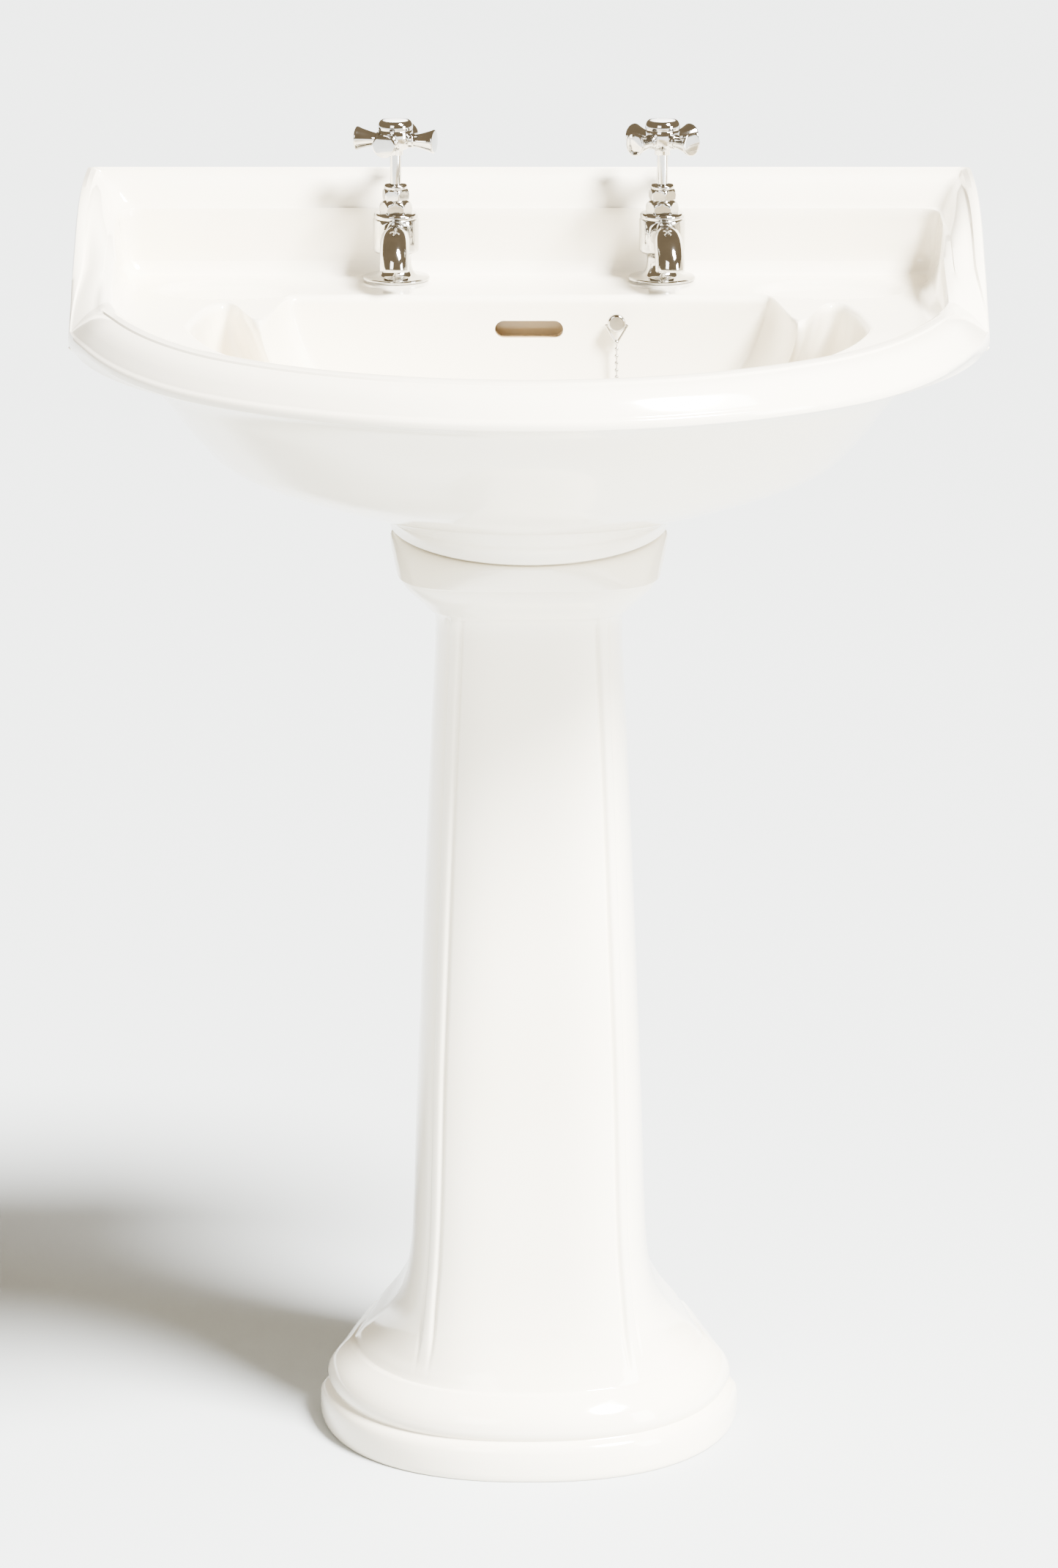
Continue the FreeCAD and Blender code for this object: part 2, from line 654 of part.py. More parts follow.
def make_tap(name, sign, body_turn, handle_turn):
    """One pillar tap, from its crosshead down to the nut under the deck."""
    where = dict(across=sign + "tap_spacing / 2", out="tap_out")
    ring = ring_outline
    tap_body(name, turn=180 + body_turn, up=SEAT, **where)
    turned(name + "_deck_washer", ring("tail_radius + 0.1", "flange_radius - 2", "0", "deck_washer_thick"),
           up="deck_level", **where)
    turned(name + "_under_washer", ring("tail_radius + 0.1", "20", "0", "3"),
           up="deck_level - deck_thick - 3", **where)
    hexagon_nut(name + "_back_nut", "31", "8", "tail_radius + 0.05", turn=12,
                up="deck_level - deck_thick - 11", **where)

    # headwork: a screwed bonnet with a hexagon, then the gland nut and its packing
    bonnet = doc.addObject("PartDesign::Body", name + "_bonnet")
    revolve(bonnet, name + "_bonnet_turning", [
        ("0", "36"), ("chamber_radius - 0.05", "36"), ("chamber_radius - 0.05", "barrel_top + 0.05"),
        ("10.6", "barrel_top + 0.05"), ("10.3", "barrel_top + 5"), ("9.2", "barrel_top + 9"),
        ("7", "barrel_top + 9"), ("7", "62"), ("0", "62"),
    ])
    flats = bonnet.newObject("PartDesign::AdditivePrism", name + "_bonnet_hexagon")
    flats.Polygon = 6
    bind(flats, "Circumradius", "11.6")
    bind(flats, "Height", "7")
    flats.AttachmentSupport = [(origin_part(bonnet, "XY_Plane"), "")]
    flats.MapMode = "FlatFace"
    bind(flats, ".AttachmentOffset.Base.z", "barrel_top + 0.05")
    revolve(bonnet, name + "_bonnet_bore", [
        ("0", "35"), ("6.1", "35"), ("6.1", "54"), ("spindle_radius + spindle_fit", "54"),
        ("spindle_radius + spindle_fit", "63"), ("0", "63"),
    ], kind="PartDesign::Groove")
    place(bonnet, turn=30, up=SEAT, **where)
    keep(bonnet, name + "_bonnet")

    gland = doc.addObject("PartDesign::Body", name + "_gland_nut")
    collar = [("0", "57.2"), ("8.9", "57.2"), ("8.9", "65"), ("8.15", "65.6"), ("8.15", "gland_top - 0.6"),
              ("7.5", "gland_top"), ("0", "gland_top")]
    revolve(gland, name + "_gland_turning", collar)
    gland_flats = gland.newObject("PartDesign::AdditivePrism", name + "_gland_hexagon")
    gland_flats.Polygon = 6
    bind(gland_flats, "Circumradius", "10")
    bind(gland_flats, "Height", "7.2")
    gland_flats.AttachmentSupport = [(origin_part(gland, "XY_Plane"), "")]
    gland_flats.MapMode = "FlatFace"
    bind(gland_flats, ".AttachmentOffset.Base.z", "57.4")
    revolve(gland, name + "_gland_bore", [
        ("0", "57"), ("7.05", "57"), ("7.05", "64.5"), ("spindle_radius + spindle_fit", "64.5"),
        ("spindle_radius + spindle_fit", "69"), ("0", "69"),
    ], kind="PartDesign::Groove")
    place(gland, turn=30, up=SEAT, **where)
    keep(gland, name + "_gland_nut")
    turned(name + "_gland_packing", ring("spindle_radius + spindle_fit", "7", "62.1", "64.4"),
           up=SEAT, **where)

    # what rises: the jumper and its washer do not turn, the spindle and crosshead do
    turned(name + "_valve_washer", ring("1.6", "8", "seat_level + 0.1", "25.9"), up=SEAT, **where)
    turned(name + "_jumper", [
        ("0", "seat_level + 1"), ("1.5", "seat_level + 1"), ("1.5", "26"), ("8", "26"), ("8", "29"),
        ("2.5", "29"), ("2.5", "38"), ("0", "38"),
    ], up=SEAT, **where)
    turned(name + "_spindle", [
        ("2.55", "30"), ("5.6", "30"), ("6.05", "31"), ("6.05", "46"), ("spindle_radius", "47"),
        ("spindle_radius", "hub_foot + 12"), ("0", "hub_foot + 12"), ("0", "40"), ("2.55", "38.5"),
    ], up=SEAT, **where)
    crosshead(name, handle_turn, up=SEAT + " + hub_foot", **where)
    turned(name + "_handle_screw", [
        ("0", "12.2"), ("2", "12.2"), ("2", "17.05"), ("4.5", "17.05"), ("4.5", "19.6"), ("3.9", "20.2"),
        ("1.4", "20.2"), ("1.4", "18.6"), ("0", "18.6"),
    ], up=SEAT + " + hub_foot", **where)
    turned(name + "_index", [
        ("0", "20.7"), ("8.95", "20.7"), ("8.95", "24.3"), ("8.2", "24.9"), ("5", "25.3"), ("0", "25.4"),
    ], up=SEAT + " + hub_foot", **where)


# ---------------------------------------------------------------- waste and trap

def make_waste():
    where = dict(out="waste_out")
    waste = doc.addObject("PartDesign::Body", "waste_fitting")
    flange_top = "waste_seat + 3.2"
    revolve(waste, "waste_turning", [
        ("waste_bore", "waste_tail_level"), ("waste_body_radius", "waste_tail_level"),
        ("waste_body_radius", "waste_seat + 1"), ("34.5", "waste_seat + 1"), ("35", "waste_seat + 1.6"),
        ("34", "waste_seat + 2.4"), ("27", flange_top), ("21.5", flange_top), ("19", "waste_seat + 1.4"),
        ("waste_bore", "waste_seat - 6"),
    ])
    slots = new_sketch(waste, "waste_slot_outline", "XZ_Plane")
    draw_outline(slots, [
        ("5", "basin_foot + 8.5"), ("11", "basin_foot + 8.5"), ("11", "basin_foot + 15.5"),
        ("5", "basin_foot + 15.5"),
    ])
    slot = waste.newObject("PartDesign::Pocket", "waste_slot")
    slot.Profile = slots
    slot.Type = "Length"
    slot.Length = 80
    slot.Midplane = True
    pattern = waste.newObject("PartDesign::PolarPattern", "waste_slots")
    pattern.Originals = [slot]
    pattern.Axis = (origin_part(waste, "Z_Axis"), [""])
    pattern.Angle = 360
    pattern.Occurrences = 4
    waste.Tip = pattern
    place(waste, **where)
    keep(waste, "waste_fitting")

    bore = "waste_body_radius + 0.1"
    turned("waste_seal", ring_outline(bore, "33", "waste_seat", "waste_seat + 0.95"), **where)
    turned("waste_washer", ring_outline(bore, "31", "basin_foot - 3.5", "basin_foot"), **where)
    hexagon_nut("waste_back_nut", "56", "9", "waste_body_radius + 0.05", turn=8,
                up="basin_foot - 12.5", **where)

    trap = doc.addObject("PartDesign::Body", "trap_body")
    revolve(trap, "trap_bottle", [
        ("0", "485"), ("trap_radius", "485"), ("trap_radius", "578"), ("trap_radius - 3", "583"),
        ("20.6", "587"), ("20.6", "waste_tail_level - 1.5"), ("0", "waste_tail_level - 1.5"),
    ])
    branch_ring = new_sketch(trap, "trap_branch_ring", "XZ_Plane")
    draw_circle(branch_ring, "20", "trap_outlet_level")
    branch = trap.newObject("PartDesign::Pad", "trap_branch")
    branch.Profile = branch_ring
    branch.Length = 60
    branch.Reversed = True
    revolve(trap, "trap_hollow", [
        ("0", "484"), ("trap_radius - 3", "484"), ("trap_radius - 3", "578"), ("17.5", "578"),
        ("17.5", "505"), ("15", "505"), ("15", "605"), ("0", "605"),
    ], kind="PartDesign::Groove")
    socket_ring = new_sketch(trap, "trap_socket_ring", "XZ_Plane")
    draw_circle(socket_ring, "pipe_radius + 0.2", "trap_outlet_level")
    socket_ring.AttachmentOffset = Placement(Vector(0, 0, -22), Rotation())
    socket = trap.newObject("PartDesign::Pocket", "trap_socket")
    socket.Profile = socket_ring
    socket.Length = 45
    socket.Reversed = False
    place(trap, **where)
    keep(trap, "trap_body")

    turned("trap_inlet_seal",
           ring_outline("15.2", "20.6", "waste_tail_level - 1.4", "waste_tail_level - 0.1"), **where)
    turned("trap_inlet_nut", [
        ("20.8", "589"), ("26", "589"), ("28.5", "591"), ("28.5", "609"), ("26.5", "612"),
        ("waste_body_radius + 0.15", "612"), ("waste_body_radius + 0.15", "600"), ("20.8", "599"),
    ], **where)
    turned("trap_cup", [
        ("0", "452"), ("26", "452"), ("34", "459"), ("34", "498"), ("trap_radius + 0.15", "498"),
        ("trap_radius + 0.15", "483"), ("27", "483"), ("27", "461"), ("24", "456"), ("0", "456"),
    ], **where)
    turned("trap_cup_seal", ring_outline("27.6", "30.6", "483.1", "484.9"), **where)

    # the branch, its nut and the pipe run level from the bottle to the wall
    nut = doc.addObject("PartDesign::Body", "trap_outlet_nut")
    revolve(nut, "outlet_nut_turning", [
        ("20.2", "0"), ("25", "0"), ("26", "1.5"), ("26", "15"), ("24", "18"), ("pipe_radius + 0.15", "18"),
        ("pipe_radius + 0.15", "13"), ("20.2", "13"),
    ])
    pipe = doc.addObject("PartDesign::Body", "waste_pipe")
    revolve(pipe, "waste_pipe_turning", [
        ("pipe_bore", "0"), ("pipe_radius - 0.5", "0"), ("pipe_radius", "1"), ("pipe_radius", "28.5"),
        ("pipe_radius - 0.4", "28.8"), ("pipe_radius - 0.4", "30.8"), ("pipe_radius", "31"),
        ("pipe_radius", "140"), ("pipe_bore", "140"),
    ])
    seal = doc.addObject("PartDesign::Body", "trap_outlet_seal")
    revolve(seal, "outlet_seal_turning", ring_outline("pipe_radius + 0.05", "19.9", "0.1", "2.6"))
    for body, out in ((nut, "waste_out - 50"), (pipe, "140"), (seal, "waste_out - 60")):
        place(body, out=out, up="trap_outlet_level")
        body.Placement = Placement(body.Placement.Base, Rotation(Vector(0, 0, 1), Vector(0, 1, 0)))
        keep(body, body.Name)


# ---------------------------------------------------------------- plug and chain

def bent_wire(points, radius):
    """A stiff round wire that runs straight from point to point."""
    pieces = [Part.makeSphere(radius, corner) for corner in points[1:-1]]
    for start, end in zip(points, points[1:]):
        run = end.sub(start)
        pieces.append(Part.makeCylinder(radius, run.Length, start, run))
    return pieces[0].fuse(pieces[1:])


def make_chain_stay():
    """A turned stud with a stirrup hooked into the sides of its head."""
    across = size("stay_across")
    level = size("stay_level")
    face = size("stay_face_out")
    hook = level - 1.5
    head_out = face + 5.5
    apex = hook - 11
    wallward = Vector(0, 1, 0)
    head = Part.makeCylinder(6.4, 5, point_at(across, face + 8, level), wallward)
    head = head.makeFillet(1.8, [head.Edges[2]])
    neck = Part.makeCylinder(4.2, 3.2, point_at(across, face + 3.2, level), wallward)
    stud = Part.makeCylinder(2.8, 30, point_at(across, face + 0.6, level), wallward)
    hooks = Part.makeCylinder(0.9, 20, point_at(across - 10, head_out, hook), Vector(1, 0, 0))
    keep(feature_from(head.fuse([neck, stud]).cut(hooks), "stay"), "chain_stay")

    behind = 98
    washer = Part.makeCylinder(7.5, 1.5, point_at(across, behind, level), wallward)
    washer_hole = Part.makeCylinder(3, 3, point_at(across, behind + 1, level), wallward)
    keep(feature_from(washer.cut(washer_hole), "stay_ring"), "stay_washer")
    nut = doc.addObject("Part::Prism", "stay_nut_blank")
    nut.Polygon = 6
    nut.Circumradius = 6
    nut.Height = 4.5
    nut.Placement = Placement(point_at(across, behind - 1.6, level), Rotation(Vector(0, 0, 1), wallward))
    bore = cylinder("stay_nut_bore", "2.85", "6", axis=(0, 1, 0),
                    across="stay_across", out=str(behind - 1), up="stay_level")
    keep(cut("stay_nut_cut", nut, bore), "stay_nut")

    stirrup = [(-5.2, hook), (-7.6, hook), (-1.2, apex), (1.2, apex), (7.6, hook), (5.2, hook)]
    points = [point_at(across + sideways, head_out, up) for sideways, up in stirrup]
    keep(feature_from(bent_wire(points, 0.8), "stirrup"), "chain_stirrup")


def make_plug():
    where = dict(out="waste_out")
    turned("plug_body", [
        ("0", "waste_seat - 5"), ("15.2", "waste_seat - 5"), ("15.8", "waste_seat - 4.4"),
        ("18.6", "waste_seat + 1.6"), ("21.2", "waste_seat + 3.6"), ("21.2", "waste_seat + 5.4"),
        ("20.4", "waste_seat + 6.2"), ("0", "waste_seat + 6.2"),
    ], **where)
    out = size("waste_out")
    base = size("waste_seat") + 6.25
    dome = Part.makeCylinder(15, 1.6, point_at(0, out, base))
    dome = dome.makeFillet(0.7, [dome.Edges[0]])
    eye = Part.makeTorus(2.4, 0.9, point_at(0, out, base + 4.0), Vector(1, 0, 0))
    post = Part.makeCylinder(1.5, 1.2, point_at(0, out, base + 1))
    keep(feature_from(dome.fuse([post, eye]), "cap"), "plug_cap")
    # the split ring leans forward through the eye and rests on the rubber's edge
    tilt = math.radians(4)
    centre = point_at(0, out + 10 * math.cos(tilt), base + 4.0 - 10 * math.sin(tilt))
    ring = Part.makeTorus(10, 0.8, centre, Vector(0, -math.sin(tilt), math.cos(tilt)))
    keep(feature_from(ring, "ring"), "plug_ring")


CHAIN_ROUTE = [
    # across, out from the wall, up: from the stirrup, down into the bowl and round to the plug
    (61.5, 120.1, 790.6),
    (61.5, 122.8, 754.0),
    (62.0, 129.0, 718.5),
    (66.0, 143.0, 700.5),
    (79.0, 171.0, 699.0),
    (86.0, 203.0, 700.5),
    (76.0, 235.0, 700.5),
    (50.0, 254.0, 699.0),
    (20.0, 251.0, 698.0),
    (3.0, 228.0, 697.6),
    (1.0, 201.8, 699.0),
]


def rounded_path(points, share=0.45):
    """Straight runs joined by tangent arcs, each as large as its two runs allow."""
    edges = []
    radii = []
    start = points[0]
    for before, corner, after in zip(points, points[1:], points[2:]):
        inward = (before - corner).normalize()
        outward = (after - corner).normalize()
        turn = math.pi - inward.getAngle(outward)
        setback = share * min((corner - before).Length, (after - corner).Length)
        radius = setback / math.tan(turn / 2)
        bisector = (inward + outward).normalize()
        middle = corner + bisector * (radius / math.cos(turn / 2) - radius)
        arc_start = corner + inward * setback
        arc_end = corner + outward * setback
        edges.append(Part.LineSegment(start, arc_start).toShape())
        edges.append(Part.Arc(arc_start, middle, arc_end).toShape())
        radii.append(radius)
        start = arc_end
    edges.append(Part.LineSegment(start, points[-1]).toShape())
    return Part.Wire(edges), radii


def make_chain():
    radius = size("chain_diameter") / 2
    points = [point_at(*place_on_route) for place_on_route in CHAIN_ROUTE]
    path, radii = rounded_path(points)
    direction = points[1] - points[0]
    section = Part.Wire(Part.makeCircle(radius, points[0], direction))
    tube = path.makePipeShell([section], True, True)
    expected = math.pi * radius ** 2 * path.Length
    print("chain length %.1f mm, radii" % path.Length, [round(value, 1) for value in radii])
    print("chain volume %.1f, section times length %.1f" % (tube.Volume, expected))
    keep(feature_from(tube, "chain_tube"), "chain")


# ---------------------------------------------------------------- the whole sink

make_basin()
make_pedestal()
make_tap("hot", "-", 0, size("hot_handle_turn"))
make_tap("cold", "", size("cold_body_turn"), size("cold_handle_turn"))
make_waste()
make_chain_stay()
make_plug()
make_chain()
doc.recompute()

faults = []
for item in doc.Objects:
    if "Invalid" in item.State or "Error" in item.State:
        faults.append(item.Name + " failed to build")
for part in parts:
    if part.Shape.isNull() or not part.Shape.isValid() or part.Shape.Volume <= 0:
        faults.append(part.Label + " has no valid solid")
if faults:
    raise RuntimeError("; ".join(faults))

os.makedirs(FOLDER, exist_ok=True)
for part in parts:
    part.Shape.exportStep(os.path.join(FOLDER, part.Label + ".step"))
    print("%-22s %2d solid(s) %10.1f mm3" % (part.Label, len(part.Shape.Solids), part.Shape.Volume))
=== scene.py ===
import math

import bmesh
import bpy
import numpy as np
from mathutils import Matrix, Vector


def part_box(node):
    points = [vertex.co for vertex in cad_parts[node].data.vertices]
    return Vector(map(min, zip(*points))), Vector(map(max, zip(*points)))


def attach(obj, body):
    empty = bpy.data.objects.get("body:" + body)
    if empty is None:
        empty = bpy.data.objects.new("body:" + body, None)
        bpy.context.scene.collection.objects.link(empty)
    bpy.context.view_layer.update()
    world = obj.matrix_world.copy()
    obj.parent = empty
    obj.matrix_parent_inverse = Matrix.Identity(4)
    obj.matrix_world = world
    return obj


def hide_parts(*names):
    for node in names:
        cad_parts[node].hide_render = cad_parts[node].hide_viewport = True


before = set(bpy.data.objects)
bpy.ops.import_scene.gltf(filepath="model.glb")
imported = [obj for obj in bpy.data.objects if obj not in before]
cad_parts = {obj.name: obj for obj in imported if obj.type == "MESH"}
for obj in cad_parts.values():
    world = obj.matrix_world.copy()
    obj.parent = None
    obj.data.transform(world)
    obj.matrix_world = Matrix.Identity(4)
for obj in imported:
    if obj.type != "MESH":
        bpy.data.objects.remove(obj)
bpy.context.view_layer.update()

# A traditional pedestal sink in glazed china, with chrome pillar taps and a
# plug on a ball chain.  Tables below are in millimetres: "across" to the right
# of the middle, "out" from the wall, "up" from the floor.  put() turns them
# into the frame's metres.

MM = 0.001
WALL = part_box("basin")[1][1]          # y of the wall face, in metres
HALF_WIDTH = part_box("basin")[1][0] / MM
FRONT_EDGE = (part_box("basin")[1][1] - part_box("basin")[0][1]) / MM
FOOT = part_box("basin")[0][2] / MM     # underside of the basin
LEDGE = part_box("hot_deck_washer")[1][2] / MM
TAP_ACROSS = (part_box("cold_deck_washer")[0][0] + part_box("cold_deck_washer")[1][0]) / 2 / MM
TAP_OUT = (WALL - (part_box("cold_deck_washer")[0][1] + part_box("cold_deck_washer")[1][1]) / 2) / MM
WASTE_OUT = (WALL - (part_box("waste_washer")[0][1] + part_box("waste_washer")[1][1]) / 2) / MM


def put(points):
    """Rows of (across, out, up) in millimetres as frame coordinates in metres."""
    points = np.asarray(points, dtype=float)
    return np.stack([points[..., 0] * MM, WALL - points[..., 1] * MM, points[..., 2] * MM], axis=-1)


# -------- small tools

def ease(value):
    """Rise smoothly from 0 to 1 as the value does."""
    value = np.clip(value, 0, 1)
    return value * value * (3 - 2 * value)


def smooth_line(stops, values, at):
    """A smooth curve through (stop, value) pairs, read at some places."""
    stops = np.asarray(stops, dtype=float)
    values = np.asarray(values, dtype=float)
    runs = np.diff(stops)
    rises = np.diff(values) / runs
    slopes = np.empty_like(values)
    slopes[0], slopes[-1] = rises[0], rises[-1]
    same_way = rises[:-1] * rises[1:] > 0
    blended = (runs[1:] * rises[:-1] + runs[:-1] * rises[1:]) / (runs[1:] + runs[:-1])
    limit = 3 * np.minimum(abs(rises[:-1]), abs(rises[1:]))
    slopes[1:-1] = np.where(same_way, np.sign(blended) * np.minimum(abs(blended), limit), 0)
    at = np.clip(at, stops[0], stops[-1])
    span = np.clip(np.searchsorted(stops, at, side="right") - 1, 0, len(runs) - 1)
    share = (at - stops[span]) / runs[span]
    start, end = values[span], values[span + 1]
    lift = (slopes[span] * (1 - share) - slopes[span + 1] * share) * runs[span]
    return start + (end - start) * ease(share) + share * (1 - share) * lift


def add_object(name, data):
    """A new object in the scene."""
    thing = bpy.data.objects.new(name, data)
    bpy.context.scene.collection.objects.link(thing)
    return thing


def mesh_object(name, points, faces, sharp_angle=38):
    """A mesh object from points and faces, in the scene."""
    mesh = bpy.data.meshes.new(name)
    mesh.from_pydata([tuple(p) for p in points], [], [tuple(f) for f in faces])
    return finish_mesh(name, mesh, sharp_angle)


def finish_mesh(name, mesh, sharp_angle=38):
    """Weld and orient a mesh, shade it smooth except at sharp edges, and put it in the scene."""
    shell = bmesh.new()
    shell.from_mesh(mesh)
    bmesh.ops.remove_doubles(shell, verts=shell.verts, dist=1e-6)
    bmesh.ops.dissolve_degenerate(shell, edges=shell.edges, dist=1e-6)
    bmesh.ops.recalc_face_normals(shell, faces=shell.faces)
    shell.to_mesh(mesh)
    shell.free()
    mesh.shade_smooth()
    mesh.set_sharp_from_angle(angle=math.radians(sharp_angle))
    return add_object(name, mesh)


def ring_faces(rings, columns, closed_rings=False):
    """Quads of a grid whose columns close on themselves, rings x columns."""
    faces = []
    last = rings if closed_rings else rings - 1
    for ring in range(last):
        after = (ring + 1) % rings
        for column in range(columns):
            beside = (column + 1) % columns
            faces.append((ring * columns + column, ring * columns + beside,
                          after * columns + beside, after * columns + column))
    return faces


def boolean(thing, tools, operation="DIFFERENCE"):
    """Cut tools from, or join them to, a mesh object, and remove them."""
    for tool in tools:
        step = thing.modifiers.new("step", "BOOLEAN")
        step.object = tool
        step.operation = operation
        step.solver = "EXACT"
    depsgraph = bpy.context.evaluated_depsgraph_get()
    mesh = bpy.data.meshes.new_from_object(thing.evaluated_get(depsgraph))
    thing.modifiers.clear()
    thing.data = mesh
    for tool in tools:
        bpy.data.objects.remove(tool)
    return thing


def lathe(name, outline, around=96):
    """A solid turned about an upright axis from (radius, height) points that start and end on the axis."""
    angles = np.linspace(0, 2 * math.pi, around, endpoint=False)
    rings = [[(radius * math.cos(a), radius * math.sin(a), height) for a in angles]
             for radius, height in outline]
    return mesh_object(name, np.array(rings).reshape(-1, 3), ring_faces(len(outline), around))


def carry(thing, place, turn=0.0, axis="Z"):
    """Turn a piece made in millimetres about the origin, then carry it to its place in the frame."""
    thing.data.transform(Matrix.Rotation(math.radians(turn), 4, axis))
    thing.data.transform(Matrix.Scale(MM, 4))
    thing.data.transform(Matrix.Translation(put(place)))
    return thing


def remake(thing, name, sharp_angle=34):
    """Weld and shade a mesh again after booleans."""
    mesh = thing.data
    bpy.data.objects.remove(thing)
    return finish_mesh(name, mesh, sharp_angle)


# -------- materials

def new_material(name):
    material = bpy.data.materials.new(name)
    material.use_nodes = True
    nodes = material.node_tree.nodes
    links = material.node_tree.links
    return material, nodes, links, nodes["Principled BSDF"]


def add_node(nodes, kind, **inputs):
    node = nodes.new(kind)
    for name, value in inputs.items():
        node.inputs[name].default_value = value
    return node


def object_noise(nodes, links, scale, detail=3.0, roughness=0.5):
    place = add_node(nodes, "ShaderNodeTexCoord")
    noise = add_node(nodes, "ShaderNodeTexNoise", Scale=scale, Detail=detail, Roughness=roughness)
    links.new(place.outputs["Object"], noise.inputs["Vector"])
    return noise.outputs["Fac"]


def tint(nodes, links, factor, dark, light):
    """A colour ramp between two colours over the middle of a noise."""
    ramp = add_node(nodes, "ShaderNodeValToRGB")
    ramp.color_ramp.elements[0].position = 0.3
    ramp.color_ramp.elements[0].color = (*dark, 1)
    ramp.color_ramp.elements[1].position = 0.7
    ramp.color_ramp.elements[1].color = (*light, 1)
    links.new(factor, ramp.inputs["Fac"])
    return ramp.outputs["Color"]


def spread(nodes, links, factor, low, high):
    """A factor from 0 to 1 spread between two values."""
    scale = add_node(nodes, "ShaderNodeMapRange")
    scale.inputs["To Min"].default_value = low
    scale.inputs["To Max"].default_value = high
    links.new(factor, scale.inputs["Value"])
    return scale.outputs["Result"]


def mottle(nodes, links, shader, noise, dark, light, smooth, dull):
    """Vary a shader's colour and roughness together with a noise."""
    colour = tint(nodes, links, noise, dark, light)
    links.new(colour, shader.inputs["Base Color"])
    wear = spread(nodes, links, noise, smooth, dull)
    links.new(wear, shader.inputs["Roughness"])


def bump(nodes, links, height, shader, strength, distance):
    node = add_node(nodes, "ShaderNodeBump", Strength=strength, Distance=distance)
    links.new(height, node.inputs["Height"])
    links.new(node.outputs["Normal"], shader.inputs["Normal"])


# the inside of the overflow duct, where shade is painted, in the frame's metres
DUCT_SIDE = 0.03      # half width, with a margin
DUCT_FACE = 0.1275    # y just behind the slot's soft edge
DUCT_BACK = 0.1475    # y behind the duct's back
DUCT_TOP = 0.8065     # z just over the duct


def math_node(nodes, links, operation, *sources):
    """A math node fed by sockets or constants."""
    node = nodes.new("ShaderNodeMath")
    node.operation = operation
    for socket, source in zip(node.inputs, sources):
        if isinstance(source, float):
            socket.default_value = source
        else:
            links.new(source, socket)
    return node.outputs[0]


def painted_duct_shade_mask(nodes, links):
    """One inside the overflow duct, where a dark brown painted shade goes, and zero elsewhere."""
    place = add_node(nodes, "ShaderNodeTexCoord")
    split = add_node(nodes, "ShaderNodeSeparateXYZ")
    links.new(place.outputs["Object"], split.inputs["Vector"])
    side = math_node(nodes, links, "ABSOLUTE", split.outputs["X"])
    mask = math_node(nodes, links, "LESS_THAN", side, DUCT_SIDE)
    for way, operation, limit in (("Y", "GREATER_THAN", DUCT_FACE), ("Y", "LESS_THAN", DUCT_BACK),
                                  ("Z", "LESS_THAN", DUCT_TOP)):
        test = math_node(nodes, links, operation, split.outputs[way], limit)
        mask = math_node(nodes, links, "MULTIPLY", mask, test)
    return mask


def china_material():
    """Warm white vitreous china under a clear glaze that isn't quite flat."""
    material, nodes, links, shader = new_material("glazed_china")
    cloud = object_noise(nodes, links, 5.0, 2.0)
    glazed = tint(nodes, links, cloud, (0.86, 0.795, 0.65), (0.89, 0.835, 0.71))
    colour = add_node(nodes, "ShaderNodeMix")
    colour.data_type = "RGBA"
    # the mask picks out the duct, whose colour is painted shade
    links.new(painted_duct_shade_mask(nodes, links), colour.inputs["Factor"])
    links.new(glazed, colour.inputs[6])
    # painted shade: a dark brown inside the duct, standing for the shade in the slot
    colour.inputs[7].default_value = (0.44, 0.33, 0.19, 1)
    links.new(colour.outputs[2], shader.inputs["Base Color"])
    pull = object_noise(nodes, links, 22.0, 1.0)
    wear = spread(nodes, links, pull, 0.06, 0.15)
    links.new(wear, shader.inputs["Roughness"])
    wave = object_noise(nodes, links, 16.0, 1.5, 0.4)
    bump(nodes, links, wave, shader, 0.10, 0.004)
    shader.inputs["IOR"].default_value = 1.52
    shader.inputs["Coat Weight"].default_value = 0.35
    shader.inputs["Coat Roughness"].default_value = 0.03
    return material


def chrome_material():
    """Bright chromium plate with faint polishing marks."""
    material, nodes, links, shader = new_material("chrome")
    haze = object_noise(nodes, links, 90.0, 4.0)
    mottle(nodes, links, shader, haze, (0.50, 0.49, 0.465), (0.60, 0.59, 0.565), 0.03, 0.09)
    fine = object_noise(nodes, links, 700.0, 2.0)
    bump(nodes, links, fine, shader, 0.02, 0.0003)
    shader.inputs["Metallic"].default_value = 1.0
    return material


def brass_material():
    """Turned brass, a little dull, with lathe lines round its axis."""
    material, nodes, links, shader = new_material("turned_brass")
    patina = object_noise(nodes, links, 60.0, 5.0)
    mottle(nodes, links, shader, patina, (0.46, 0.30, 0.11), (0.68, 0.50, 0.22), 0.22, 0.42)
    place = add_node(nodes, "ShaderNodeTexCoord")
    lines = add_node(nodes, "ShaderNodeTexWave", Scale=260.0, Distortion=0.6)
    lines.bands_direction = "Z"
    links.new(place.outputs["Object"], lines.inputs["Vector"])
    bump(nodes, links, lines.outputs["Fac"], shader, 0.15, 0.0002)
    shader.inputs["Metallic"].default_value = 1.0
    return material


def soft_material(name, dark, light, smooth, dull, grain=260.0):
    """Moulded rubber or plastic: mottled, with a fine surface grain."""
    material, nodes, links, shader = new_material(name)
    mottle(nodes, links, shader, object_noise(nodes, links, 70.0, 4.0), dark, light, smooth, dull)
    fine = object_noise(nodes, links, grain, 2.0)
    bump(nodes, links, fine, shader, 0.25, 0.0003)
    return material


